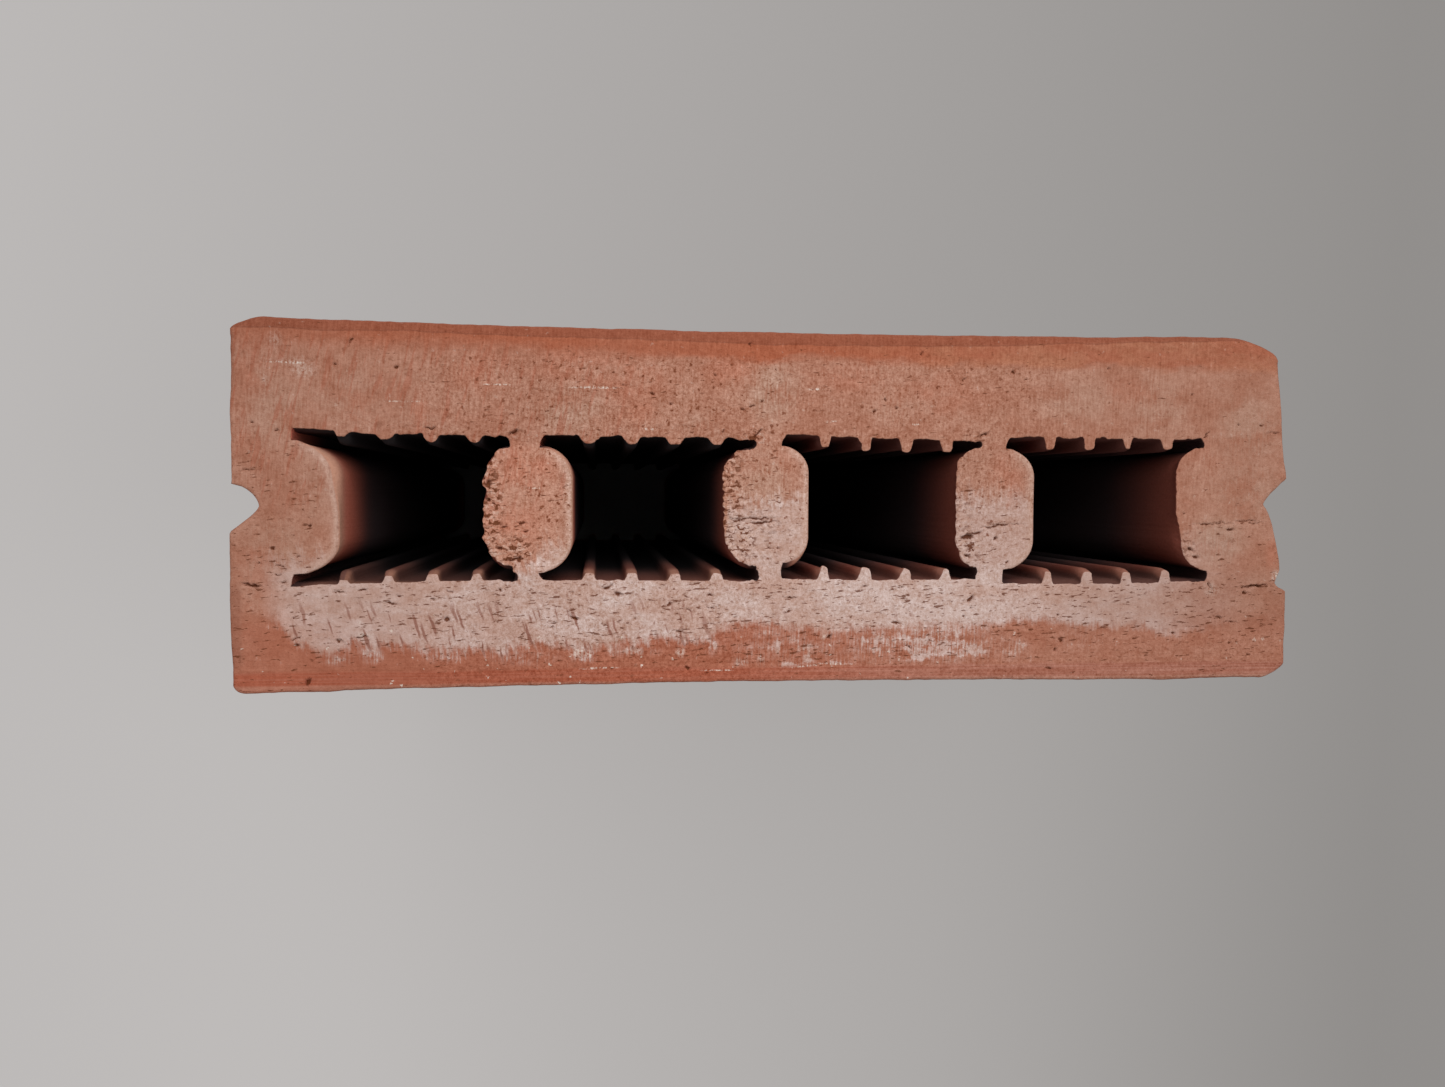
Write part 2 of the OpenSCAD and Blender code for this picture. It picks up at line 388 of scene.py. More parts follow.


# one cell: the die's loop, and at the cut end the wire's, pushed in and out by noises along the loop (bites,
# lumps and creases on the ragged side, nicks on the upper back, torn clay by the right slots), with its edge's
# radius and its walls' looks, most of them painted light and shade
def makeCellLoop(order, cell):
    slots, middle, faces = cell["slots"], cell["ribX"], cell["faces"]
    back, lip = cellForm["dieBack"], cellForm["dieLip"]
    dieFaces = (faces[0], faces[1] + cellForm["burr"])
    dieBacks = [[(-halfWidth, level), (halfWidth, level)] for level in (-back, back)]
    dieRibs = [[cellForm["dieRib"]] * 4] * 2
    dieShoulders = [cellForm["dieShoulder"]] * 2
    dieLips = (-lip, -lip, lip, lip)
    die = cellLoop(slots, (0, 0, 0, 0), dieLips, dieBacks, dieFaces, dieShoulders, dieRibs, middle)[0]
    rng = np.random.default_rng(cellForm["ribSeed"] + order)
    uneven = 1 + cellForm["ribSpread"] * rng.uniform(-1, 1, (2, 4, 3))
    ribs = [np.column_stack([cell[name + "Heights"], np.array([cell[name + "Rib"]] * 4) * spread])
            for name, spread in zip(("lower", "upper"), uneven)]
    ribs[1] = ribs[1][::-1]
    cut, weights = cellLoop(slots, cell["slants"], cell["lips"], (cell["lowerBack"], cell["upperBack"]), faces,
                            cell["shoulders"], ribs, middle)
    onLower, facesLeft, onUpper, facesRight, leftEnds = weights
    cut[:, 0] += cell["leans"][0] * facesRight * smoothStep(-2, 8, cut[:, 1])
    cut[:, 0] += cell["leans"][1] * facesLeft * smoothStep(1, -7, cut[:, 1])
    s = alongLoop(cut)
    row = order + 0 * s
    along = {name: s / length for name, length in cellForm["grit"].items()}
    seed = {name: cellForm["seed"] + k for k, name in enumerate(along)}
    coarse, fine = [roughNoise(along[name], row, seed[name]) for name in ("coarse", "fine")]
    bites, lumps, creases, nicks = [valueNoise(along[name], row, seed[name])
                                    for name in ("bites", "lumps", "creases", "nicks")]
    bites, lumps = np.maximum(bites, 0) ** 1.4, np.maximum(lumps, 0)
    creases, nicks = (1 - np.abs(creases)) ** 4, np.maximum(nicks - 0.35, 0)
    crumble = cell["rag"] * facesLeft * (0.55 * bites - 0.42 * lumps + 0.5 * creases + 0.36 * fine - 0.1)
    crumble = crumble + (1 - facesLeft - facesRight) * (0.16 * coarse + 0.13 * fine) + onUpper * 0.6 * nicks
    torn = (1 - facesLeft) * smoothStep(-4.5, -1, cut[:, 0] - min(slots[1:3]))
    crumble = crumble + (0.3 + cell["rag"]) * torn * (0.2 * coarse + 0.22 * fine)
    outward = loopNormals(cut)
    height = np.abs(np.interp(cut[:, 0], *np.array(cell["lowerBack"], float).T) - cut[:, 1])
    cut = cut + outward * crumble[:, None]
    ease = 0.24 + 0.5 * facesRight - 0.06 * facesLeft + 0.06 * coarse
    ease = np.minimum(ease, cellForm["easeLimit"] * softened(loopRadius(cut, 2), 3))
    # rib crests on the lower back, which take a painted highlight and less painted shade
    crests = onLower * smoothStep(0.5, 1.6, height)
    slotted = 1 - onLower - facesLeft - onUpper - facesRight
    # painted light in the left slot ends, upper and lower, by the cell's slotGlow
    slotLight = leftEnds * np.where(cut[:, 1] > 0, cell["slotGlow"][1], cell["slotGlow"][0])
    # painted shade: the upper back by the roof, the left-facing walls, the slot ends without painted light, and
    # the lower back by the gloom, less on its crests
    dark = cell["roof"] * onUpper + 0.33 * facesLeft + 0.9 * np.maximum(slotted - 1.5 * slotLight, 0)
    dark = dark + cell["gloom"] * (onLower - 0.6 * crests)
    # painted shade on the shoulders: the right-facing wall takes its painted light in full only between them
    face = 0.8 + 0.2 * smoothStep(7.2, 6.7, np.abs(cut[:, 1]))
    # painted light on the lower back by the glow: in the first cell just beside each rib, in the others all
    # along
    onward = np.mod((cut[:, 0] - middle) / cellForm["ribPitch"] + 1.5, 1)   # 0 on a rib's middle, 1 on the next
    glow = cell["glow"] * onLower * (smoothStep(1.0, 0.3, onward) if order == 0 else 0.8)
    # pale: the smooth right-facing sides, burnished clay with painted light, and painted light on the lower back
    # and its crests; lit, dim, dark and glow: painted light and shade
    return {"cut": cut, "die": die, "normals": outward, "ease": ease, "fade": cellForm["fade"], "claySide": 1,
            "bottomEase": cellForm["bottomEase"],
            "pale": np.maximum(facesRight, onLower * 0.03 + crests * 0.3), "smooth": facesRight,
            "ragged": cell["rag"] * facesLeft, "dark": dark, "lit": facesRight * face + slotLight,
            "dim": onLower * (1 - (0.7 - 0.65 * cell["glow"]) * crests), "glow": glow}


loops = [makeBlockLoop()] + [makeCellLoop(k, cell) for k, cell in enumerate(cellRow)]
print("section loops:", [len(loop["cut"]) for loop in loops], "points")


# Marks that the wire and the kiln left in the cut end: tears, cracks and pores

marks = {
    "seed": 5,
    "tears": [                                  # x, y, half length, half width, turn in degrees, depth
        (-96.6, -14.1, 1.9, 0.26, -12, 0.9), (-96.2, 15.1, 0.6, 0.2, 15, 0.6),
        (-97.0, 6.7, 1.4, 0.16, 4, 0.5), (98.2, 15.2, 1.7, 0.14, -3, 0.7), (95.2, -15.0, 3.2, 0.24, 2, 0.9),
        (92.6, -15.2, 0.5, 0.26, 40, 0.7), (84.3, 14.9, 1.0, 0.16, 42, 0.8),
        (85.6, -14.9, 1.1, 0.2, -58, 0.9), (-50.1, 13.9, 1.2, 0.2, 25, 0.9), (-4.6, 14.1, 1.3, 0.2, 45, 0.9),
        (39.3, 14.3, 1.2, 0.18, 32, 0.8), (-5.4, -1.8, 4.6, 0.22, 1, 0.6), (-3.6, -2.6, 2.7, 0.24, 7, 0.7),
        (-8.2, -2.2, 1.3, 0.2, 0, 0.6), (36.2, -5.2, 1.4, 0.45, 8, 0.9), (38.4, -4.5, 0.9, 0.25, 15, 0.6),
        (43, -2.9, 1.9, 0.2, 2, 0.6), (41.6, -5.6, 0.4, 0.35, 0, 0.8), (36.4, -9.0, 0.8, 0.3, -20, 0.8),
        (89.9, -3.8, 0.9, 0.25, 0, 0.7), (94.6, -2.4, 1.6, 0.18, 3, 0.5), (86, -2.6, 4.5, 0.14, 2, 0.5),
        (81.6, -7.8, 0.8, 0.35, -30, 0.8), (82.5, -9.2, 0.9, 0.2, -5, 0.6), (90, -22.1, 2.0, 0.14, -2, 0.5),
        (87.6, -21.2, 0.8, 0.2, 0, 0.5), (93, -16.4, 0.5, 0.3, 0, 0.6), (1.8, -16.8, 1.5, 0.2, 8, 0.6),
        (-49.7, -9.4, 1.5, 0.35, 3, 0.9), (-32.8, -14.7, 1.2, 0.3, 18, 0.7),
        (-30.7, -16.0, 0.9, 0.35, -25, 0.7), (-13.6, -16.4, 0.7, 0.25, 0, 0.6),
        (-13.3, -18.6, 1.1, 0.2, 0, 0.5), (-16.5, -14.1, 1.5, 0.14, 2, 0.5), (16.1, -14.8, 0.5, 0.3, 10, 0.7),
        (23.2, -15.1, 0.7, 0.2, 4, 0.6), (37, -17.2, 0.9, 0.4, 40, 0.7), (22.4, -21.8, 1.2, 0.2, -8, 0.5),
        (9.2, -24.3, 0.9, 0.4, 35, 0.8), (-81.2, -15.4, 1.2, 0.22, -4, 0.6), (-77, -15.1, 1.1, 0.2, 8, 0.6),
        (-72, -17.5, 1.4, 0.2, -6, 0.5), (-77.5, -23.8, 1.4, 0.22, 10, 0.6),
        (-81.5, -24.3, 0.8, 0.25, 0, 0.6), (-88.8, -25.0, 0.6, 0.4, 20, 0.6),
        (-38.8, -20.3, 1.3, 0.24, -24, 0.6), (-42.8, -21.4, 0.8, 0.24, 20, 0.6),
        (-19.4, -23.2, 0.8, 0.24, 0, 0.6), (-62, -20.6, 0.7, 0.4, -20, 0.6),
        (-17.8, -30.0, 0.6, 0.35, 0, 0.6), (52.9, -30.8, 0.8, 0.2, 0, 0.5), (55.1, -25.4, 0.5, 0.4, 60, 0.6),
        (54.2, -27.2, 0.4, 0.35, 70, 0.5), (26.9, 29.7, 0.6, 0.24, 60, 0.6), (-78.6, 30.2, 0.5, 0.3, 20, 0.5),
        (-71, 25.5, 0.45, 0.34, 0, 0.5), (-91.9, 13.7, 0.5, 0.36, 10, 0.6), (-65, 14.6, 1.2, 0.22, 5, 0.6),
        (-81.8, 25.9, 0.35, 0.25, 0, 0.5), (-11.2, 18.5, 0.3, 0.22, 0, 0.5), (-7.7, 18.7, 0.4, 0.2, 30, 0.5),
        (-5.8, 19.2, 0.6, 0.22, 10, 0.6), (-3.9, 20.1, 0.35, 0.2, 60, 0.5), (-29.8, 23, 0.5, 0.2, 0, 0.5),
        (-24.4, 21.3, 0.35, 0.24, 0, 0.5), (-21, 19.5, 0.4, 0.3, 0, 0.5), (-6.2, 30.9, 0.5, 0.22, 80, 0.5),
        (19.9, 20.9, 0.4, 0.3, 0, 0.5), (22, 19.3, 0.35, 0.28, 0, 0.5), (17.8, 18.7, 0.35, 0.25, 0, 0.5),
        (-11.2, 14.5, 0.6, 0.18, 60, 0.6), (44.9, 26.3, 0.4, 0.34, 0, 0.5), (47.4, 25, 0.5, 0.25, 10, 0.5),
        (35.3, 25, 0.35, 0.25, 0, 0.5), (64, 27.4, 0.35, 0.26, 0, 0.5), (90.7, 16.9, 0.3, 0.24, 0, 0.5),
        (95.7, 16.7, 0.3, 0.24, 0, 0.5), (81.1, 22.7, 0.35, 0.25, 0, 0.5), (37.3, -4.7, 2.4, 0.15, 12, 0.6),
        (41.2, -3.3, 2.4, 0.15, 4, 0.6), (46, -2.7, 1.6, 0.1, 2, 0.4), (-93, -7.5, 0.5, 0.14, 0, 0.5),
        (-91.5, -10.5, 0.9, 0.14, 0, 0.5), (-92, -12.2, 0.8, 0.14, 3, 0.5), (-95.2, -10, 0.5, 0.14, 0, 0.5),
        (-88.5, -9, 0.5, 0.14, 5, 0.5), (-86.4, -3.2, 0.5, 0.34, 20, 0.6), (-91, -13.4, 0.5, 0.14, 0, 0.5),
        (-97, -8.6, 0.5, 0.14, -5, 0.4), (93, -2.0, 2.6, 0.14, 1, 0.5), (-54.6, 4.3, 0.9, 0.5, 60, 0.9),
        (-54.7, 1.5, 0.7, 0.4, 10, 0.8), (-53.6, 0.8, 0.6, 0.25, -30, 0.6), (-51.6, -3.5, 0.9, 0.25, 10, 0.6),
        (-48.4, -2.8, 1.1, 0.2, -12, 0.6), (-47.8, -4.2, 0.8, 0.2, 4, 0.6), (-52.6, -7.5, 0.8, 0.4, -20, 0.8),
    ],
    "chalk": [                                  # pale scratches: x, y, half length, half width, turn
        (-90, 26.1, 4.2, 0.16, 0), (-88.5, 26, 1.6, 0.3, 0), (-35, 22.3, 5, 0.2, 0), (6.4, 22.6, 1.7, 0.2, 0),
        (-25, 14.8, 1.4, 0.2, 0), (-70, 19.3, 3.6, 0.12, 0), (-53, 22.6, 2.8, 0.12, 1),
        (-46.4, 3.7, 1.6, 0.14, 0), (-55.6, -7.6, 1.0, 0.2, 0), (25.7, 16.2, 0.9, 0.16, 0),
        (9.4, 16.6, 1.3, 0.14, 5), (-34, -29.8, 4, 0.12, 2), (-12, -30.5, 3.5, 0.12, -1),
        (4.5, -29.9, 3, 0.14, 4), (10, -29.5, 3, 0.12, -3),
    ],
    "poreCount": 10,
    "tearCount": 40,
    "lowShare": 0.62,                           # share of the scattered tears that lie in the lower tile
    "wobble": 0.42,                             # how far noise shakes a mark's outline, and its length
    "wobbleLength": 0.8,
    "wobbleSeeds": (31, 32),
    "reliefSeed": 41,
    "crumbReach": 2.2,                          # how far crumbs reach in from a ragged side
    "rimReach": 1.3,                            # how wide the pale rim of a smooth side is: burnished clay with a painted highlight
}


# the listed marks and a seeded scatter: round pores all over, flat tears in the lower tile and the webs
def gatherMarks():
    rng = np.random.default_rng(marks["seed"])
    n = marks["poreCount"]
    size = 0.22 + 0.3 * rng.random(n) ** 2
    pores = np.column_stack([rng.uniform(-99, 99, n), rng.uniform(-33, 33, n), size * rng.uniform(1, 1.7, n),
                             size, rng.uniform(-90, 90, n), size * 1.4])
    n = marks["tearCount"]
    low = rng.random(n) < marks["lowShare"]
    x = rng.uniform(-90, 92, n)
    y = np.where(low, rng.uniform(-27, -14, n), rng.uniform(-11, 4, n))
    length = 0.3 + 0.9 * rng.random(n) ** 2
    tears = np.column_stack([x, y, length, 0.13 + 0.12 * rng.random(n), rng.normal(0, 12, n), np.full(n, 0.45)])
    return np.concatenate([np.array(marks["tears"], float), pores, tears])


markList = gatherMarks()


# points within reach of a mark, with their places along and across it, the mark's outline shaken by noise
def besideMark(x, y, mark, wobble):
    markX, markY, halfLong, halfWide, turn = mark[:5]
    reach = halfLong + 1.2
    found = np.flatnonzero((np.abs(x - markX) < reach) & (np.abs(y - markY) < reach))
    c, s = math.cos(math.radians(turn)), math.sin(math.radians(turn))
    dx, dy = x[found] - markX + wobble[0][found], y[found] - markY + wobble[1][found]
    along, across = c * dx + s * dy, c * dy - s * dx
    past = np.hypot(np.maximum(np.abs(along) - halfLong, 0), np.maximum(np.abs(across) - halfWide, 0))
    return found, np.hypot(along / halfLong, across / halfWide), past


# at points of the cut end: how deep the marks go, how far inside a mark each point is (1 in its middle, 0
# clear of it), the same for the pale scratches, and whether the point is near any of them
def markDepth(x, y):
    deep, inside, chalk, near = np.zeros((4, len(x)))
    length = marks["wobbleLength"]
    wobble = [marks["wobble"] * roughNoise(x / length, y / length, seed) for seed in marks["wobbleSeeds"]]
    for mark in markList:
        found, away, past = besideMark(x, y, mark, wobble)
        deep[found] = np.maximum(deep[found], mark[5] * smoothStep(1.25, 0.35, away))
        inside[found] = np.maximum(inside[found], np.clip(1.4 - away, 0, 1))
        near[found] = np.maximum(near[found], smoothStep(0.6, 0.1, past))
    for mark in marks["chalk"]:
        found, away, past = besideMark(x, y, mark, [0.1 * wobble[0], 0.1 * wobble[1]])
        chalk[found] = np.maximum(chalk[found], smoothStep(1.2, 0.5, away))
        near[found] = np.maximum(near[found], smoothStep(0.5, 0.1, past))
    return deep, inside, chalk, near


# nearness of points to the sides of the cells that carry a weight: 1 on them, falling off over a reach
def nearSides(x, y, weight, reach):
    near = np.zeros_like(x)
    for loop in loops[1:]:
        for (sideX, sideY), share in zip(loop["cut"], loop[weight]):
            if share > 0.3:
                close = np.flatnonzero((np.abs(x - sideX) < 2.5 * reach) & (np.abs(y - sideY) < 2.5 * reach))
                away = np.hypot(x[close] - sideX, y[close] - sideY)
                near[close] = np.maximum(near[close], share * np.exp(-(away / reach) ** 2))
    return near


# relief of the cut end: slow waves, steep drag grooves, crumbs beside the ragged sides and the marks
def cutRelief(x, y):
    deep, inside, chalk = markDepth(x, y)[:3]
    crumbs = nearSides(x, y, "ragged", marks["crumbReach"])
    seed = marks["reliefSeed"]
    slow = 0.12 * roughNoise(x / 22, y / 14, seed)
    lean = np.where(y > 0, 0.25, -0.22)
    drag = 0.05 * valueNoise((x - lean * y) / 0.9, y / 9, seed + 1)
    drag = drag + 0.035 * roughNoise(x / 0.8, y / 0.8, seed + 2)
    torn = crumbs * (0.45 * np.abs(roughNoise(x / 1.1, y / 1.0, seed + 3)) - 0.22)
    return slow + drag + torn - 0.1 - deep, inside, chalk, crumbs


# The fired body: five sleeves carried down the extrusion, closed by the two cut ends

body = {
    "easeTurns": 4,                             # rings round the edge of a cut end
    "nearRings": [0.5, 1.1, 2.0, 3.3, 5.2, 8.0],
    "farRings": [13, 21, 34, 52, 74, 98, 122, 144, 163, 178, 189, 196],
    "lattice": 0.68,                            # spacing of the points that fill the top end
    "fineLattice": 0.21,                        # spacing beside the marks
    "fineShare": 0.3,                           # nearness to them from which that is used
    "bottomLattice": 2.6,
    "latticeSeed": 61,
    "jitter": 0.16,                             # how far a lattice point may move, as a share of the spacing
    "clear": 0.25,                              # how far an end's points keep from its lines
    "bottomClear": 1.0,
    "raster": 0.1,                              # squares on which that is found, and their margin
    "margin": 6,
    "wave": 0.14,                               # slow unevenness of the long faces
    "waveLengths": (45, 60),                    # its length round the block and along it
    "waveSeed": 51,
    "dip": 0.9,                                 # depth over which the cut end's relief fades
    "mouthReach": 4,                            # how deep the pale mouths of the cells go: burnished clay and painted light
}


# six-sided lattice of points over the section, each moved a little at random
def pointLattice(step, seed):
    rows = np.arange(-halfThick - 2, halfThick + 2, step * math.sqrt(3) / 2)
    columns = np.arange(-halfWidth - 2, halfWidth + 2, step)
    x, y = np.meshgrid(columns, rows)
    x = x + step / 2 * (np.arange(len(rows)) % 2)[:, None]
    jitter = np.random.default_rng(seed).uniform(-body["jitter"], body["jitter"], (2, *x.shape)) * step
    return (x + jitter[0]).ravel(), (y + jitter[1]).ravel()


# which points keep clear of the loops' lines: the lines are drawn on a fine raster and thickened
def clearOf(lines, x, y, gap):
    cell, margin = body["raster"], body["margin"]
    shape = (int((2 * halfThick + 2 * margin) / cell), int((2 * halfWidth + 2 * margin) / cell))
    taken = np.zeros(shape, bool)

    def place(px, py):
        row = ((py + halfThick + margin) / cell).astype(int)
        column = ((px + halfWidth + margin) / cell).astype(int)
        return row, column

    for line in lines:
        closed = np.vstack([line, line[:1]])
        dense = resample(closed, int(len(line) * 12))
        taken[place(*dense.T)] = True
    reach = int(round(gap / cell))
    thick = taken.copy()
    for dy in range(-reach, reach + 1):
        for dx in range(-reach, reach + 1):
            if dx * dx + dy * dy <= reach * reach:
                thick |= np.roll(np.roll(taken, dy, 0), dx, 1)
    return ~thick[place(x, y)]


# which points lie in the clay: a ray to the right crosses the section's lines an odd number of times
def inClay(lines, x, y):
    hits = np.zeros(len(x), int)
    for line in lines:
        ahead = np.roll(line, -1, 0)
        for (x0, y0), (x1, y1) in zip(line, ahead):
            if y0 != y1:
                low, high = min(y0, y1), max(y0, y1)
                level = np.flatnonzero((y >= low) & (y < high))
                hits[level] += x[level] < x0 + (y[level] - y0) * (x1 - x0) / (y1 - y0)
    return hits % 2 == 1


# triangles between the loops: a Delaunay fill of the loops' points and a lattice, holes left open
def fillEnd(lines, latticeX, latticeY):
    points = np.concatenate([*lines, np.column_stack([latticeX, latticeY])])
    edges, first = [], 0
    for line in lines:
        ring = np.arange(first, first + len(line))
        edges.append(np.column_stack([ring, np.roll(ring, -1)]))
        first += len(line)
    edges = np.concatenate(edges)
    wholeHull = 0
    found = delaunay_2d_cdt(points.tolist(), edges.tolist(), [], wholeHull, 1e-6)
    source = np.array([origin[0] if origin else -1 for origin in found[3]])
    if source.min() < 0:
        print("the section's lines cross at", [tuple(found[0][k]) for k in np.flatnonzero(source < 0)])
    faces = source[np.array(found[2])]
    kept = np.ones(len(faces), bool)
    onLines = np.flatnonzero((faces < first).all(axis=1))
    middles = points[faces[onLines]].mean(axis=1)
    kept[onLines] = inClay(lines, *middles.T)
    return points, faces[kept]


vertices, quads, triangles = [], [], []
looks = {name: [] for name in ("cutFace", "inCell", "mark", "chalk", "mouth", "rim", "ragged", "dark", "lit",
                              "dim", "glow")}
vertexCount = 0


# keeps new vertices with their looks, 0 where none is given, and returns their numbers
def addVertices(xyz, **values):
    global vertexCount
    first = vertexCount
    vertices.append(xyz)
    for name, stored in looks.items():
        stored.append(np.broadcast_to(values.get(name, 0.0), len(xyz)).astype(np.float32))
    vertexCount += len(xyz)
    return first + np.arange(len(xyz))


# quads between two rings of equal count, facing away from the clay
def joinRings(upper, lower, claySide):
    upperNext, lowerNext = np.roll(upper, -1), np.roll(lower, -1)
    order = [upper, upperNext, lowerNext, lower] if claySide > 0 else [upper, lower, lowerNext, upperNext]
    quads.append(np.column_stack(order))


# triangles from a ring to one with half its points
def halveRing(upper, lower, claySide):
    even, odd, after = upper[::2], upper[1::2], np.roll(upper[::2], -1)
    lowerNext = np.roll(lower, -1)
    for trio in ((even, odd, lower), (odd, lowerNext, lower), (odd, after, lowerNext)):
        triangles.append(np.column_stack(trio if claySide > 0 else trio[::-1]))


# a loop carried down the extrusion: rings round the eased top edge, close ones under it, then rings of half
# the points down to the eased bottom edge; the cut's shape fades into the die's with depth, and a slow wave
# comes in
def addSleeve(order, loop):
    claySide = loop["claySide"]
    wear, toClay = loop["cut"] - loop["die"], loop["normals"] * claySide
    inCell = 1.0 if claySide > 0 else 0.0
    s, ease = alongLoop(loop["die"]), loop["ease"]
    around, down = body["waveLengths"]
    deepest = cutRelief(*(loop["cut"] + toClay * ease[:, None]).T)[0]
    # the cells' painted light and shade, carried down their walls
    walls = {name: loop[name] for name in ("dark", "lit", "dim", "glow")}

    def ringAt(depth, inset, part=slice(None)):
        fade = np.exp(-(depth / loop["fade"]) ** 2)
        flat = loop["die"] + wear * np.reshape(fade, (-1, 1)) + toClay * np.reshape(inset, (-1, 1))
        wave = body["wave"] * roughNoise(s / around, (blockLength - depth) / down + 7 * order, body["waveSeed"])
        flat = flat + toClay * (wave * (1 - fade))[:, None]
        z = np.broadcast_to(blockLength - depth, len(flat)) + deepest * np.exp(-(depth / body["dip"]) ** 2)
        return np.column_stack([flat, z])[part]

    rings = []
    for turn in np.linspace(0, np.pi / 2, body["easeTurns"]):
        points = ringAt(ease * (1 - math.cos(turn)), ease * (1 - math.sin(turn)))
        rings.append(addVertices(points, cutFace=math.cos(turn) ** 2, inCell=inCell * math.sin(turn),
                                 mouth=loop["pale"], rim=loop["smooth"], ragged=loop["ragged"], **walls))
        if turn == 0:
            topLine = points[:, :2]
    for extra in body["nearRings"]:
        # the pale mouth of a cell, burnished clay and painted light, fades with depth
        pale = loop["pale"] * math.exp(-(extra / body["mouthReach"]) ** 2)
        rings.append(addVertices(ringAt(ease + extra, 0 * ease), inCell=inCell, mouth=pale, **walls))
    for upper, lower in zip(rings, rings[1:]):
        joinRings(upper, lower, claySide)

    half = slice(None, None, 2)
    walls = {name: values[half] for name, values in walls.items()}
    coarse = []
    for depth in body["farRings"]:
        coarse.append(addVertices(ringAt(depth + 0 * s, 0 * s, half), inCell=inCell, **walls))
    halveRing(rings[-1], coarse[0], claySide)
    for turn in np.linspace(np.pi / 2, 0, body["easeTurns"]):
        rise, inset = [loop["bottomEase"] * (1 - swing) for swing in (math.cos(turn), math.sin(turn))]
        points = ringAt(blockLength - rise + 0 * s, inset + 0 * s, half)
        coarse.append(addVertices(points, cutFace=math.cos(turn) ** 2, inCell=inCell * math.sin(turn)))
    for upper, lower in zip(coarse, coarse[1:]):
        joinRings(upper, lower, claySide)
    return topLine, rings[0], points[:, :2], coarse[-1]


topLines, topRings, bottomLines, bottomRings = zip(*[addSleeve(k, loop) for k, loop in enumerate(loops)])
print("sleeves:", vertexCount, "vertices")


# points that fill the top end: a fine lattice beside the marks and the ragged sides, a wide one elsewhere
def topLattice():
    picked = []
    for k, (spacing, beside) in enumerate([("lattice", False), ("fineLattice", True)]):
        x, y = pointLattice(body[spacing], body["latticeSeed"] + k)
        near = np.maximum(markDepth(x, y)[3], nearSides(x, y, "ragged", marks["crumbReach"]))
        picked.append(np.array([x, y])[:, (near >= body["fineShare"]) == beside])
    return np.concatenate(picked, axis=1)


# heights and looks of the points of the top end
def dressTop(x, y):
    relief, inside, chalk, crumbs = cutRelief(x, y)
    rim = nearSides(x, y, "smooth", marks["rimReach"])
    return blockLength + relief, {"mark": inside, "chalk": chalk, "rim": rim, "ragged": crumbs}


# the bottom end is a plain flat cut
def dressBottom(x, y):
    return np.zeros_like(x), {}


# triangles of a cut end: lattice points that keep clear of the lines, dressed, and joined to the sleeves' rings
def closeEnd(lines, rings, x, y, gap, dress):
    keep = clearOf(lines, x, y, gap)
    keep[keep] = inClay(lines, x[keep], y[keep])
    points, faces = fillEnd(lines, x[keep], y[keep])
    ringTotal = sum(len(line) for line in lines)
    used = np.unique(faces[faces >= ringTotal])
    z, values = dress(*points[used].T)
    lookup = np.concatenate([*rings, np.zeros(len(points) - ringTotal, int)])
    lookup[used] = addVertices(np.column_stack([points[used], z]), cutFace=1.0, **values)
    return lookup[faces]


triangles.append(closeEnd(topLines, topRings, *topLattice(), body["clear"], dressTop))
print("top end:", len(triangles[-1]), "triangles")
bottomLattice = pointLattice(body["bottomLattice"], body["latticeSeed"] + 2)
bottomFaces = closeEnd(bottomLines, bottomRings, *bottomLattice, body["bottomClear"], dressBottom)
triangles.append(bottomFaces[:, ::-1])
print("bottom end:", len(triangles[-1]), "triangles")


# Colour fields of the cut end

fields = {                                      # knots along x, each with a height or a share
    "bloomFoot": [(-100, -18), (-96, -18.5), (-92, -21), (-90, -24), (-86, -26.5), (-82, -27), (-79, -24.6),
                  (-76, -26.6), (-72, -25), (-66, -26.4), (-52, -26.6), (-45, -25.2), (-36, -26.6),
                  (-30, -25.4), (-20, -24.6), (-15, -25), (-9, -22), (-4, -21.6), (2, -22.6), (12, -23.2),
                  (40, -22.6), (46, -21.6), (54, -21.6), (60, -22.8), (72, -23), (77, -25), (82, -24),
                  (88, -23), (100, -20)],
    "bloomHead": [(-100, -9), (-54, -8), (-53, -11), (-46, -11), (-45, -7), (-11, -7), (-10, 1), (-4, 1.5),
                  (5, 3), (6, -7), (32, -7), (33, 3), (48, 3), (50, -7), (78, -7), (80, -4), (100, -4)],
    "coat": [(-100, 0), (-95, 0.1), (-90, 0.8), (-60, 0.95), (-30, 1), (-8, 0.95), (8, 1), (38, 1),
             (46, 0.85), (62, 0.8), (75, 0.68), (84, 0.28), (92, 0.07), (97, 0), (100, 0)],
    "flashFoot": [(-100, 29), (-55, 29.3), (-35, 28.6), (-15, 28), (100, 27.6)],
    "flashShare": [(-100, 0.45), (-75, 0.85), (-58, 0.9), (-50, 0.97), (-40, 0.95), (-30, 0.8), (-15, 0.9),
                   (-5, 1), (20, 0.95), (45, 0.8), (100, 0.75)],
    "flashHard": [(-100, 0.3), (-60, 0.35), (-45, 0.55), (-20, 0.75), (0, 1), (100, 1)],
    "stripFoot": [(-100, 32.2), (-60, 32), (-30, 31.5), (0, 31.0), (30, 31.2), (50, 31.8), (70, 32.7),
                  (100, 33.6)],
    "lowStripHead": [(-100, -30), (100, -29.9)],
    "red": [(-100, 0.6), (-85, 0.85), (-10, 0.88), (20, 0.6), (55, 0.38), (100, 0.32)],
    "tone": [(-100, 0.93), (-80, 0.95), (-45, 1.0), (0, 1.04), (45, 1.0), (70, 0.96), (100, 0.93)],
}

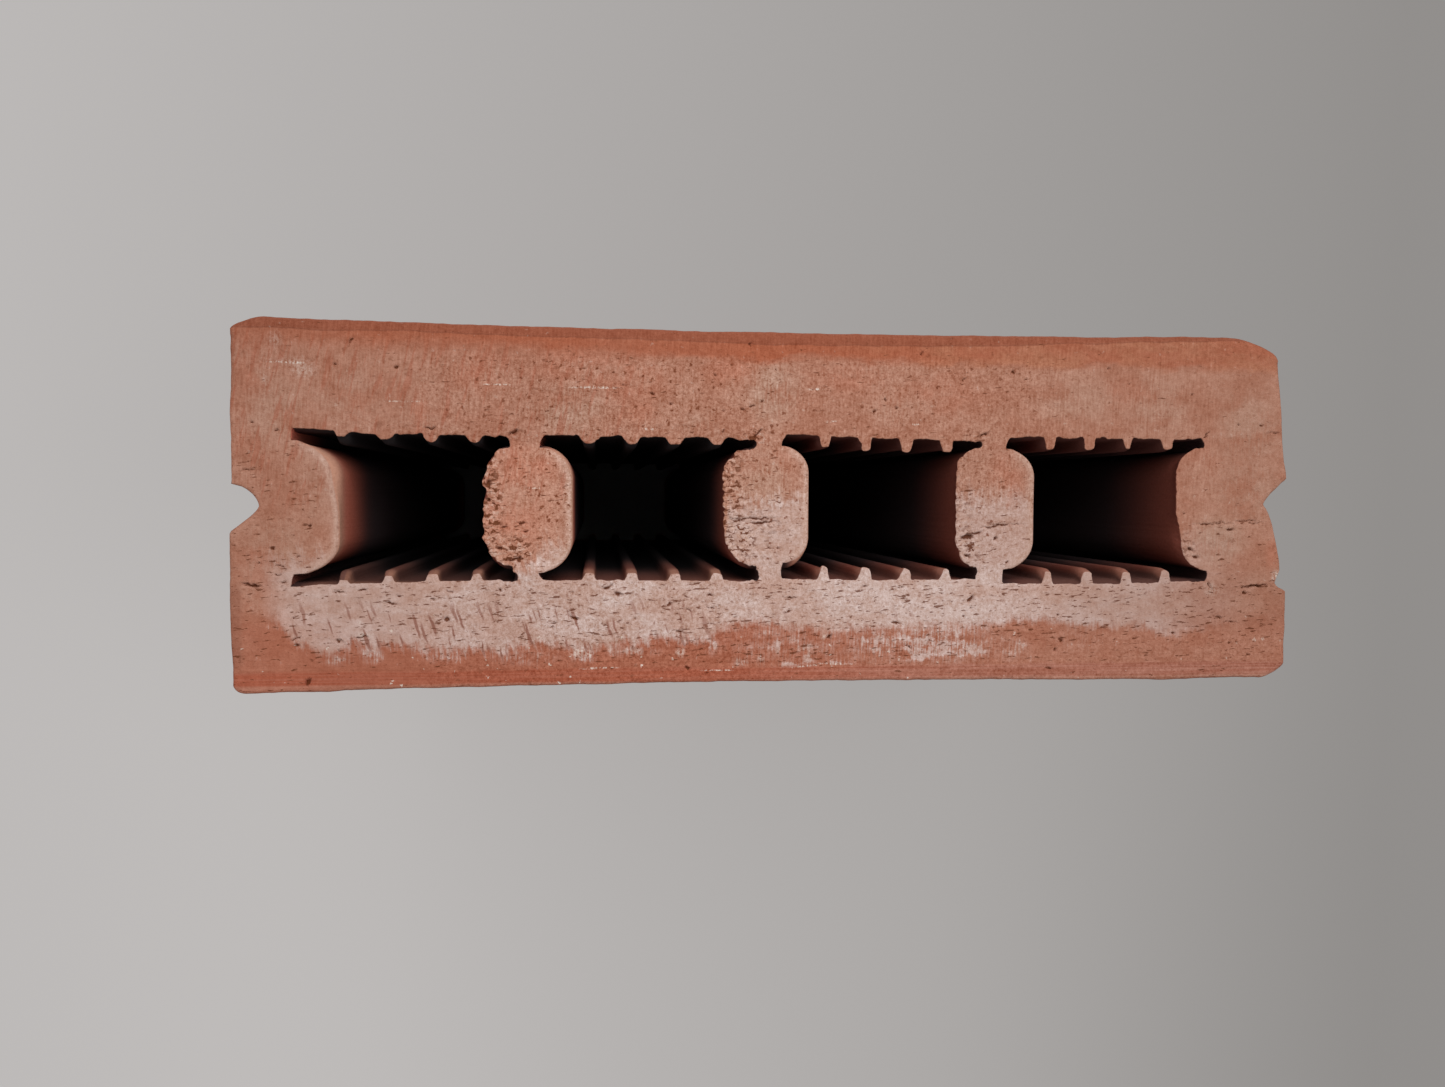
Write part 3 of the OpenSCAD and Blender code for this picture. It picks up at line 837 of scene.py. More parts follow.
spots = {                                       # x, y, half width, half height, share
    "rubbed": [                                 # pale rubbed places and lime
        (-87.2, 24.8, 2.4, 1.6, 0.35), (-89, 26.2, 3.6, 0.8, 0.2), (-92.2, 30, 1.2, 1.6, 0.25),
        (-93.9, 23, 0.6, 1.2, 0.3), (-37.6, -26.9, 2.0, 0.9, 0.7), (-19.2, -27, 0.9, 0.8, 0.8),
        (-76.8, -23.3, 1.3, 0.6, 0.7), (8.4, -24.2, 1.0, 0.7, 0.5), (99.6, -13.2, 1.0, 1.2, 1.0),
        (86, -15.6, 1.6, 1.4, 0.35), (-50, -7.7, 1.4, 0.3, 0.4),
    ],
    "worn": [                                   # what is left of the coat below its foot
        (-13.1, -26, 1.6, 1.6, 0.55), (-7.7, -28.9, 1.8, 1.0, 0.7), (-3.7, -28.6, 0.9, 1.2, 0.7),
        (-0.5, -26, 1.1, 1.8, 0.7), (1.8, -29.8, 3.6, 0.8, 0.7), (5, -28.4, 2.0, 1.3, 0.7),
        (11.4, -29.3, 3, 0.5, 0.55), (18, -26, 6, 3.4, 0.5), (26.8, -28, 3.2, 1.5, 0.85),
        (30, -26, 13, 4, 0.6), (38.4, -27.2, 2.8, 1.5, 0.8), (45.6, -27.0, 3.4, 2.4, 0.45),
        (2, -25.5, 12, 4, 0.38), (-82, -27.6, 3, 1.2, 0.5), (-75.8, -26.6, 2, 2, 0.6),
        (-63, -27.4, 3, 1.2, 0.5), (-48, -27.8, 6, 1.2, 0.5), (58, -25.5, 6, 2.5, 0.15),
        (-28, -26.8, 5, 1.0, 0.55), (-37, -27.8, 2.6, 0.9, 0.6),
    ],
    "beige": [                                  # greyer places of the clay
        (-1.5, 22, 5.5, 6, 0.6), (-40, 18.5, 7, 5, 0.5), (-92, 17, 6, 6, 0.35), (-80, 21, 7, 6, 0.22),
        (-68, 17, 4, 4, 0.2), (58, 21, 9, 5, 0.3), (93, 16, 7, 7, 0.45), (74, 20, 7, 6, 0.3),
        (23, 18, 6, 4, 0.2), (93, 4, 7, 7, 0.35), (87, -6, 6, 5, 0.6), (-92, -7, 6, 6, 0.3),
        (-85, 4, 4, 7, 0.25), (-15, 15.5, 5, 3, 0.3), (-60, 24, 4, 3, 0.25), (-3, 5, 6, 6, 0.4),
    ],
    "crumbly": [                                # places where the wire tore the clay open
        (-54.5, 0, 3.4, 11, 1.0), (-50, -8, 5, 4, 1.0), (-48, 2, 5, 9, 0.3), (-9.4, 3, 3.4, 9, 0.8),
        (-8, -6, 4, 4.5, 1.0), (-3, -3, 6, 5, 0.5), (-2, -9, 4, 4, 0.45), (35.5, 1, 2.5, 8, 0.55),
        (36.5, -7, 3, 4.5, 0.9), (80.5, -7, 3, 4, 0.6), (-49.5, 13.5, 4, 2, 0.5), (-5, 13.5, 4, 2.4, 0.8),
        (38, 13.6, 4, 2, 0.6), (-70, 15, 18, 1.6, 0.4), (-24, 15, 20, 1.6, 0.4), (88, -6, 6, 5, 0.3),
    ],
    "ruddy": [                                  # redder places of the clay
        (-96, 27, 3, 6, 0.5), (-56, 25, 5, 4.5, 0.55), (-38, 26.5, 8, 4, 0.5), (-28, 24, 7, 5, 0.45),
        (-26.5, 17.5, 3, 3.5, 0.45), (-66.5, 18, 1.6, 5, 0.5), (-10, 26, 6, 3.5, 0.5), (14, 25, 9, 3, 0.35),
        (31, 22, 8, 5, 0.3), (-48, 7, 6, 5, 0.65), (-50, -3, 6, 5, 0.55), (-1, 9, 4, 3, 0.25),
        (44, 6, 4, 6, 0.5), (20, 20, 4, 4, 0.3), (68, 23, 7, 3, 0.2), (-96, -13, 4, 6, 0.35),
        (98.5, -8, 1.4, 5, 0.5), (84, 9, 4, 5, 0.2), (-78, 17.5, 2, 4, 0.3), (-98, 14, 2, 4, 0.3),
    ],
}


# a height or share at x, on straight lines between a field's knots
def boundary(name, x):
    knots = np.array(fields[name], float)
    return np.interp(x, knots[:, 0], knots[:, 1])


# the strongest of a list of soft oval spots at each point
def spotted(name, x, y):
    share = np.zeros_like(x)
    for centreX, centreY, halfWide, halfHigh, strength in spots[name]:
        away = np.hypot((x - centreX) / halfWide, (y - centreY) / halfHigh)
        share = np.maximum(share, strength * smoothStep(1.4, 0.2, away))
    return share


# looks over the cut end, made of the fields, the spots and s-curves along x and y. bloom: millimetres inside
# the pale coat, negative outside, soft at its head; coat: its share; flash, strip and lowStrip: millimetres
# inside those bands, with the flash's share and hardness; red: red clay low down; border: the drawn skin turned
# over the left edge; coarse and nicked: where the wire tore and nicked the clay; web: the three webs
def colourFields(x, y):
    foot, head = y - boundary("bloomFoot", x), boundary("bloomHead", x) - y
    webs = smoothStep(12.6, 11, np.abs(y)) * smoothStep(-60, -57, x) * smoothStep(52, 50, x)
    tornUpper = smoothStep(-75, -60, x) * smoothStep(70, 40, x) * smoothStep(30, 27, y)
    tornUpper = tornUpper * (1 + 0.3 * smoothStep(-52, -42, x) * smoothStep(0, -8, x))
    tornLower = 0.8 * smoothStep(-22, -25, y) * smoothStep(44, 54, x)
    crumbly = spotted("crumbly", x, y)
    onLow = smoothStep(-12, -14, y) * smoothStep(-31, -29, y)
    nearBacks, midway = np.exp(-((y + 15.3) / 1.3) ** 2), np.exp(-(x / 14) ** 2)
    onFoot = smoothStep(-25, -28, y) * smoothStep(-10, -25, x)
    nicked = [onLow * (1 + 0.1 * nearBacks + 0.08 * midway - 0.15 * onFoot),
              webs * (0.75 + 0.35 * crumbly), 0.85 * smoothStep(-82, -86, x) * smoothStep(18, 12, y),
              0.8 * smoothStep(81, 84, x) * smoothStep(1, -3, y), 0.45 + 0.2 * tornUpper]
    return {
        "bloom": np.minimum(foot, 0.5 * head),
        "coat": boundary("coat", x) * (1 - (0.08 + 0.27 * smoothStep(30, 34, x)) * smoothStep(-13, -9, y)),
        "flash": y - boundary("flashFoot", x),
        "flashShare": boundary("flashShare", x),
        "flashHard": boundary("flashHard", x),
        "strip": y - boundary("stripFoot", x),
        "lowStrip": boundary("lowStripHead", x) - y,
        "tone": boundary("tone", x) + webs * (0.1 * smoothStep(-38, -44, x) - 0.05 * smoothStep(30, 34, x))
                + smoothStep(-82, -92, x) * (0.07 * smoothStep(-12, -20, y) - 0.05 * smoothStep(18, 26, y))
                - 0.06 * smoothStep(48, 62, x) * smoothStep(-10, -14, y) * smoothStep(-25, -22, y),
        "red": boundary("red", x) * smoothStep(-17, -23, y),
        "border": smoothStep(-98.2, -98.8, x) * smoothStep(-13, -16, y) * smoothStep(-31, -27, y),
        "coarse": np.max([tornUpper, tornLower, 1.2 * crumbly, 0.25 + 0 * x], axis=0),
        "nicked": np.max(nicked, axis=0),
        "web": webs,
        **{name: spotted(name, x, y) for name in spots},
    }


# puts the gathered vertices, quads and triangles into one mesh, with the looks as point attributes; the long
# faces take the second finish and the cells the third
def makeMesh(name):
    xyz = np.concatenate(vertices) * mm
    four, three = np.concatenate(quads), np.concatenate(triangles)
    mesh = bpy.data.meshes.new(name)
    mesh.vertices.add(len(xyz))
    mesh.vertices.foreach_set("co", xyz.astype(np.float32).ravel())
    corners = np.concatenate([four.ravel(), three.ravel()]).astype(np.int32)
    starts = np.concatenate([np.arange(len(four)) * 4, four.size + np.arange(len(three)) * 3]).astype(np.int32)
    mesh.loops.add(len(corners))
    mesh.loops.foreach_set("vertex_index", corners)
    mesh.polygons.add(len(starts))
    mesh.polygons.foreach_set("loop_start", starts)
    mesh.update(calc_edges=True)
    mesh.polygons.foreach_set("use_smooth", np.ones(len(starts), bool))
    stored = {look: np.concatenate(values) for look, values in looks.items()}
    drawn = stored["cutFace"] < 0.001
    finishAt = drawn * np.where(stored["inCell"] > 0.5, 2, 1)
    finishIndex = np.concatenate([finishAt[four].min(axis=1), finishAt[three].min(axis=1)])
    mesh.polygons.foreach_set("material_index", finishIndex.astype(np.int32))
    stored.update(colourFields(xyz[:, 0] / mm, xyz[:, 1] / mm))
    for look, values in stored.items():
        mesh.attributes.new(look, "FLOAT", "POINT").data.foreach_set("value", values.astype(np.float32))
    print(name + ":", len(xyz), "vertices,", 2 * len(four) + len(three), "triangles")
    return mesh


tileBody = bpy.data.objects.new("fired_tile_body", makeMesh("fired_tile_body"))
bpy.context.scene.collection.objects.link(tileBody)


# Finishes

# size of each pattern in millimetres along x and y, and along z for those that run round the piece
patterns = {
    "mottle": (8, 6), "hatch": (0.4, 3.2), "upperDrag": (1.0, 9), "lowerDrag": (1.1, 7), "thick": (14, 6),
    "blotch": (2.2, 1.6), "lines": (30, 0.45), "dash": (2.2, 0.5), "gather": (7, 5), "chips": (1.5, 0.8),
    "scratch": (1.05, 8), "pores": (1.5, 1.3), "crumbs": (1.9, 1.7), "grain": (0.55, 0.55, 0.55),
    "kiln": (45, 45, 70), "dieLines": (0.8, 0.8, 260), "bands": (11, 11, 500), "veil": (26, 26, 34),
    "patch": (33, 33, 28), "scuff": (20, 20, 0.9), "pits": (2.6, 2.6, 5.5), "cellLines": (0.7, 0.7, 240),
}
reliefStep = 0.0003                             # metres that a finish's full height stands for


# sets a node's inputs to values, or links them to sockets
def fill(tree, node, inputs):
    for name, value in inputs.items():
        socket = node.inputs[name]
        if isinstance(value, bpy.types.NodeSocket):
            tree.links.new(value, socket)
        else:
            socket.default_value = value


# a new node with its settings and inputs
def put(tree, kind, inputs=None, **settings):
    made = tree.nodes.new(kind)
    for name, value in settings.items():
        setattr(made, name, value)
    fill(tree, made, inputs or {})
    return made


# one sum on values
def number(tree, operation, a, b=0.0, c=None):
    inputs = {0: a, 1: b} if c is None else {0: a, 1: b, 2: c}
    return put(tree, "ShaderNodeMath", inputs, operation=operation).outputs[0]


# colour b laid over colour a by a factor
def blend(tree, factor, a, b, mode="MIX"):
    mixed = put(tree, "ShaderNodeMix", {0: factor, 6: a, 7: b}, data_type="RGBA", blend_type=mode)
    return mixed.outputs[2]


# 0 below low and 1 above high (or the other way round), an s-curve between
def between(tree, value, low, high):
    inputs = {"Value": value, "From Min": low, "From Max": high}
    return put(tree, "ShaderNodeMapRange", inputs, interpolation_type="SMOOTHSTEP").outputs[0]


# places as a pattern of a given size sees them, turned about z, and the dimensions that it needs
def stretched(tree, place, size, turn):
    flat = len(size) == 2
    inputs = {"Vector": place, "Rotation": (0, 0, math.radians(turn)), "Scale": (*size, 1) if flat else size}
    spread = put(tree, "ShaderNodeMapping", inputs, vector_type="TEXTURE")
    return spread.outputs[0], "2D" if flat else "3D"


# cloudy noise, 0 to 1, whose features are so many millimetres in x and y (and z), turned about z
def cloud(tree, place, size, turn=0.0, detail=3.0, rough=0.55):
    spread, dimensions = stretched(tree, place, size, turn)
    inputs = {"Vector": spread, "Scale": 1.0, "Detail": detail, "Roughness": rough}
    return put(tree, "ShaderNodeTexNoise", inputs, noise_dimensions=dimensions).outputs[0]


# places moved about by cloudy noise of a given size, so that what is drawn there comes out ragged
def shaken(tree, place, size, amount):
    inputs = {"Vector": place, "Scale": 1 / size, "Detail": 2.0}
    noise = put(tree, "ShaderNodeTexNoise", inputs, noise_dimensions="2D").outputs["Color"]
    middle = put(tree, "ShaderNodeVectorMath", {0: noise, 1: (0.5, 0.5, 0.5)}, operation="SUBTRACT").outputs[0]
    inputs = {0: middle, 1: (amount, amount, amount), 2: place}
    return put(tree, "ShaderNodeVectorMath", inputs, operation="MULTIPLY_ADD").outputs[0]


# scattered flecks: cells of a stretched Voronoi pattern of which a share is taken, and the middles of those
def flecks(tree, place, size, turn, share, radius, edge=0.05):
    spread, dimensions = stretched(tree, place, size, turn)
    cells = put(tree, "ShaderNodeTexVoronoi", {"Vector": spread, "Scale": 1.0}, voronoi_dimensions=dimensions)
    picked = put(tree, "ShaderNodeSeparateColor", {0: cells.outputs["Color"]})
    chosen = number(tree, "LESS_THAN", picked.outputs[0], share)
    reach = number(tree, "MULTIPLY_ADD", picked.outputs[1], radius, radius * 0.3)
    middle = between(tree, number(tree, "SUBTRACT", cells.outputs["Distance"], reach), edge, -edge)
    return number(tree, "MULTIPLY", chosen, middle)


# fired grain for all three finishes: a rough cloud half a millimetre across, 0 to 1
def makeGrain():
    group = bpy.data.node_groups.new("firedGrain", "ShaderNodeTree")
    group.interface.new_socket("Place", in_out="INPUT", socket_type="NodeSocketVector")
    group.interface.new_socket("Grain", in_out="OUTPUT", socket_type="NodeSocketFloat")
    place = group.nodes.new("NodeGroupInput").outputs["Place"]
    grain = cloud(group, place, patterns["grain"], detail=3, rough=0.8)
    group.links.new(grain, group.nodes.new("NodeGroupOutput").inputs["Grain"])
    return group


firedGrain = makeGrain()


# the grain at places on a finish
def grainOn(tree, place):
    return put(tree, "ShaderNodeGroup", {"Place": place}, node_tree=firedGrain).outputs["Grain"]


# places on the piece in millimetres
def placeOn(tree):
    where = put(tree, "ShaderNodeTexCoord").outputs["Object"]
    inputs = {0: where, 1: (1 / mm, 1 / mm, 1 / mm)}
    return put(tree, "ShaderNodeVectorMath", inputs, operation="MULTIPLY").outputs[0]


# a colour times a tone, with a swing to both sides of it: browner where darker, paler where lighter
def shaded(tree, colour, swing, tone):
    red, green, blue = [number(tree, "MULTIPLY_ADD", swing, share, 1.0) for share in (0.8, 1.2, 1.45)]
    warm = put(tree, "ShaderNodeCombineColor", {0: red, 1: green, 2: blue}).outputs[0]
    level = put(tree, "ShaderNodeCombineColor", {0: tone, 1: tone, 2: tone}).outputs[0]
    return blend(tree, 1.0, blend(tree, 1.0, colour, warm, "MULTIPLY"), level, "MULTIPLY")


clay = {                                        # colours of the fired clay, linear
    "face": (0.375, 0.160, 0.103, 1),
    "paler": (0.46, 0.237, 0.168, 1),
    "beige": (0.43, 0.268, 0.200, 1),
    "redder": (0.355, 0.112, 0.064, 1),
    "ruddy": (0.46, 0.172, 0.108, 1),
    "orange": (0.365, 0.106, 0.054, 1),
    "warmer": (0.40, 0.15, 0.082, 1),
    "strip": (0.275, 0.082, 0.045, 1),
    "seam": (0.2, 0.062, 0.036, 1),
    "lowStrip": (0.355, 0.094, 0.051, 1),
    "lowFace": (0.385, 0.178, 0.13, 1),
    "border": (0.27, 0.105, 0.066, 1),
    "scum": (0.49, 0.312, 0.254, 1),
    "whiteScum": (0.575, 0.425, 0.378, 1),
    # pale of burnished rims and of scuffs, also painted highlight on the smooth rims and the lifted chips
    "rim": (0.56, 0.36, 0.285, 1),
    "scratch": (0.27, 0.115, 0.083, 1),
    # the dark of tears, pores and pits: painted shade in their depths
    "holeShade": (0.125, 0.034, 0.012, 1),
    "poreShade": (0.2, 0.062, 0.03, 1),
    # pale of rubbed spots and scratches, also painted glints on crumbs
    "crumb": (0.66, 0.53, 0.45, 1),
    "skin": (0.345, 0.110, 0.064, 1),
    "skinDark": (0.285, 0.088, 0.052, 1),
    # in the cells: a pale mouth (burnished clay and painted light), the walls' clay, painted light on lit and
    # glowing walls, painted shade on dim walls and deep down
    "cellMouth": (0.63, 0.32, 0.22, 1),
    "cellWall": (0.34, 0.088, 0.056, 1),
    "cellLit": (0.70, 0.19, 0.125, 1),
    "cellDimShade": (0.19, 0.074, 0.056, 1),
    "cellGlow": (0.26, 0.115, 0.075, 1),
    "cellFarShade": (0.09, 0.06, 0.062, 1),
    "cellDeepShade": (0.025, 0.02, 0.021, 1),
}


# painted light and shade down in a cell: lit or dim faces, darker with depth, pale at the mouth
def makeCellColour():
    group = bpy.data.node_groups.new("cellColour", "ShaderNodeTree")
    for name in ("Depth", "Lit", "Dim", "Dark", "Glow", "Mouth"):
        group.interface.new_socket(name, in_out="INPUT", socket_type="NodeSocketFloat")
    group.interface.new_socket("Colour", in_out="OUTPUT", socket_type="NodeSocketColor")
    depth, lit, dim, dark, glow, mouth = group.nodes.new("NodeGroupInput").outputs[:6]
    wall = blend(group, between(group, depth, 2, 36), clay["cellWall"], clay["cellFarShade"])
    wall = blend(group, number(group, "MULTIPLY", lit, between(group, depth, 29, 0)), wall, clay["cellLit"])
    dimmed = blend(group, between(group, depth, 3, 46), clay["cellDimShade"], clay["cellDeepShade"])
    wall = blend(group, dim, wall, dimmed)
    wall = blend(group, dark, wall, clay["cellDeepShade"])
    wall = blend(group, number(group, "MULTIPLY", glow, between(group, depth, 5, 0)), wall, clay["cellGlow"])
    wall = blend(group, mouth, wall, clay["cellMouth"])
    group.links.new(wall, group.nodes.new("NodeGroupOutput").inputs["Colour"])
    return group


cellColour = makeCellColour()


# a look that is kept with the mesh
def kept(tree, name):
    return put(tree, "ShaderNodeAttribute", attribute_name=name).outputs["Fac"]


# depth below the nearer of the two cut ends
def fromEnds(tree, z):
    return number(tree, "MINIMUM", number(tree, "SUBTRACT", blockLength, z), z)


# colour of the cells' walls on a finish, with its painted light and shade
def inCells(tree, z):
    inputs = {name: kept(tree, name.lower()) for name in ("Lit", "Dim", "Dark", "Glow", "Mouth")}
    inputs["Depth"] = fromEnds(tree, z)
    return put(tree, "ShaderNodeGroup", inputs, node_tree=cellColour).outputs["Colour"]


# normals bent by a height
def bentBy(tree, height, strength):
    inputs = {"Strength": strength, "Distance": reliefStep, "Height": height}
    return put(tree, "ShaderNodeBump", inputs).outputs[0]


# a new finish with its node tree and its shader
def newFinish(name):
    material = bpy.data.materials.new(name)
    material.use_nodes = True
    return material, material.node_tree, material.node_tree.nodes["Principled BSDF"]


# short names for the sums in one tree: product, sum, the larger one, and a swing about the middle of 0 to 1
def sumsIn(tree):
    def times(a, b):
        return number(tree, "MULTIPLY", a, b)

    def plus(a, b):
        return number(tree, "ADD", a, b)

    def most(a, b):
        return number(tree, "MAXIMUM", a, b)

    def about(value, spread):
        return times(number(tree, "SUBTRACT", value, 0.5), spread)

    return times, plus, most, about


# cut ends: the clay as the wire left it, with bands, a pale coat, marks and grain, one laid over the other
def terracotta():
    material, tree, shader = newFinish("terracotta")
    times, plus, most, about = sumsIn(tree)

    def look(name):
        return kept(tree, name)

    place = placeOn(tree)
    x, y, z = put(tree, "ShaderNodeSeparateXYZ", {0: place}).outputs
    ragged = shaken(tree, place, 0.7, 1.0)

    grain = grainOn(tree, place)
    mottle = cloud(tree, place, patterns["mottle"], detail=5, rough=0.62)
    hatch = cloud(tree, place, patterns["hatch"], turn=-2, detail=2)
    upperDrag = cloud(tree, place, patterns["upperDrag"], turn=-14, detail=2)
    lowerDrag = cloud(tree, place, patterns["lowerDrag"], turn=16, detail=3)
    upperHalf = between(tree, y, -4, 6)
    onLeft = between(tree, x, -4, -24)
    coarse = look("coarse")

    # cut face: mottled clay, greyer and redder in places, drawn into steep streaks by the wire
    colour = blend(tree, times(between(tree, mottle, 0.32, 0.7), 0.62), clay["face"], clay["paler"])
    colour = blend(tree, times(look("web"), 0.4), colour, clay["paler"])
    patchy = plus(mottle, about(hatch, 0.5))
    colour = blend(tree, times(look("beige"), between(tree, patchy, 0.25, 0.6)), colour, clay["beige"])
    colour = blend(tree, times(look("ruddy"), between(tree, patchy, 0.75, 0.35)), colour, clay["ruddy"])
    streak = times(between(tree, upperDrag, 0.55, 0.68), times(upperHalf, between(tree, x, -12, -40)))
    colour = blend(tree, times(streak, 0.55), colour, clay["redder"])

    # orange band under the upper edge
    thick = cloud(tree, place, patterns["thick"], detail=4, rough=0.65)
    uneven = plus(about(mottle, 3), about(thick, 4))
    flash = between(tree, times(plus(look("flash"), uneven), look("flashHard")), -0.9, 1.1)
    warmth = times(between(tree, thick, 0.35, 0.7), between(tree, x, -5, 50))
    orange = blend(tree, warmth, clay["orange"], clay["warmer"])
    colour = blend(tree, times(flash, look("flashShare")), colour, orange)

    # red clay low down, then the pale coat: worn patches below, full above a blotchy and scratched foot
    colour = blend(tree, look("red"), colour, clay["redder"])
    white = plus(thick, times(times(between(tree, x, 2, 18), between(tree, x, 56, 40)), 0.16))
    scum = blend(tree, between(tree, white, 0.34, 0.72), clay["scum"], clay["whiteScum"])
    blotch = cloud(tree, ragged, patterns["blotch"], detail=3)
    broken = plus(about(blotch, 1.6), about(hatch, 1.1))
    worn = between(tree, plus(look("worn"), times(broken, 0.75)), 0.32, 0.72)
    veil = times(look("worn"), between(tree, plus(hatch, about(blotch, 0.8)), 0.28, 0.7))
    colour = blend(tree, most(times(worn, 0.8), times(veil, 0.88)), colour, scum)
    comb = times(about(lowerDrag, 1), plus(times(onLeft, 2.5), 1.5))
    edge = plus(look("bloom"), plus(comb, times(broken, 1.6)))
    coat = times(between(tree, edge, -1.1, 1.5), look("coat"))
    colour = blend(tree, times(coat, 0.95), colour, scum)

    # smoother strips along both faces, the skin turned over the left edge
    strip = between(tree, plus(look("strip"), about(mottle, 1.0)), -0.4, 0.35)
    colour = blend(tree, times(strip, 0.85), colour, clay["strip"])
    seam = times(between(tree, strip, 0, 0.3), between(tree, strip, 0.9, 0.4))
    colour = blend(tree, times(seam, 0.5), colour, clay["seam"])
    lines = cloud(tree, place, patterns["lines"], detail=3)
    lowStrip = between(tree, plus(look("lowStrip"), about(mottle, 1.5)), -0.4, 0.4)
    lowPale = plus(times(between(tree, lines, 0.42, 0.62), 0.18), times(between(tree, x, -20, 40), 0.55))
    low = blend(tree, lowPale, clay["lowStrip"], clay["lowFace"])
    low = blend(tree, times(between(tree, y, -32.1, -32.8), 0.45), low, clay["paler"])
    colour = blend(tree, times(lowStrip, 0.9), colour, low)
    colour = blend(tree, times(look("border"), 0.6), colour, clay["border"])

    # pale rims of the sides that the wire left smooth, burnished clay with a painted highlight, rubbed spots,
    # pale scratches
    colour = blend(tree, times(look("rim"), 0.65), colour, clay["rim"])
    smudge = times(look("rubbed"), between(tree, plus(grain, about(hatch, 0.5)), 0.35, 0.6))
    smudge = most(smudge, times(look("chalk"), between(tree, plus(grain, about(hatch, 0.6)), 0.42, 0.62)))
    colour = blend(tree, smudge, colour, clay["crumb"])

    # red scratches through the coat; tears, pores and torn clay, dark with painted shade; lifted chips with
    # painted highlights and pale crumbs with painted glints
    scratch = flecks(tree, shaken(tree, place, 3, 1.0), patterns["scratch"], 16, 0.58, 0.28, 0.1)
    steep = times(scratch, times(between(tree, y, -15, -21), between(tree, coat, 0.1, 0.5)))
    colour = blend(tree, times(steep, plus(times(onLeft, 0.7), 0.2)), colour, clay["scratch"])
    # thin dark dashes, small tears in the coat, dark with painted shade
    dash = cloud(tree, place, patterns["dash"], turn=3, detail=3, rough=0.6)
    dash = plus(dash, about(cloud(tree, place, patterns["gather"], detail=1), 0.2))
    dashes = between(tree, plus(dash, times(look("nicked"), 0.16)), 0.8, 0.835)
    # pores, dark with painted shade
    pores = times(flecks(tree, ragged, patterns["pores"], 20, 0.24, 0.17), plus(times(coarse, 0.6), 0.2))
    pores = times(pores, plus(times(between(tree, y, -14, -9), 0.5), 0.5))
    colour = blend(tree, pores, colour, clay["poreShade"])
    # where the wire tore the clay open: painted shade in the torn pits, painted highlights on the lifted chips
    chips = cloud(tree, shaken(tree, place, 1.1, 1.4), patterns["chips"], detail=3)
    opened = between(tree, most(look("ragged"), look("crumbly")), 0.15, 0.9)
    torn = times(between(tree, chips, 0.55, 0.61), opened)
    chipHighlights = times(between(tree, chips, 0.43, 0.36), opened)
    colour = blend(tree, times(chipHighlights, 0.65), colour, clay["rim"])
    # the tears and pores of the mesh, darkened with painted shade like the dashes and torn pits
    marked = between(tree, plus(look("mark"), about(grain, 1.4)), 0.5, 0.85)
    holes = most(times(dashes, 0.9), most(marked, torn))
    colour = blend(tree, times(holes, 0.93), colour, clay["holeShade"])
    # pale crumbs with painted glints, more on the red clay
    crumbs = flecks(tree, ragged, patterns["crumbs"], 0, 0.15, 0.085)
    colour = blend(tree, times(crumbs, plus(times(look("red"), 0.8), 0.2)), colour, clay["crumb"])

    # round the edges into the cells, in their painted light and shade, and the long faces
    side = blend(tree, look("inCell"), clay["skin"], inCells(tree, z))
    onCut = between(tree, look("cutFace"), 0.1, 0.6)
    colour = blend(tree, onCut, side, colour)

    # grain in the colour and the relief, with fine steep lines on the upper tile and the webs
    lined = times(about(hatch, 0.5), plus(times(times(upperHalf, between(tree, x, 88, 85)), 0.7), 0.3))
    speckled = plus(times(about(grain, 1.2), coarse), about(blotch, 0.36))
    speckled = number(tree, "SUBTRACT", speckled, times(about(grain, 0.4), most(coat, look("red"))))
    speckled = plus(speckled, times(about(lines, 0.45), times(look("red"), between(tree, y, -25, -29))))
    speckled = plus(speckled, times(about(lines, 0.6), times(lowStrip, between(tree, x, -20, 40))))
    swing = plus(times(plus(speckled, lined), onCut), about(grain, 0.6))
    colour = shaded(tree, colour, swing, look("tone"))
    fill(tree, shader, {"Base Color": colour, "Normal": bentBy(tree, grain, 0.6), "Roughness": 0.95,
                        "Specular IOR Level": 0.1})
    return material


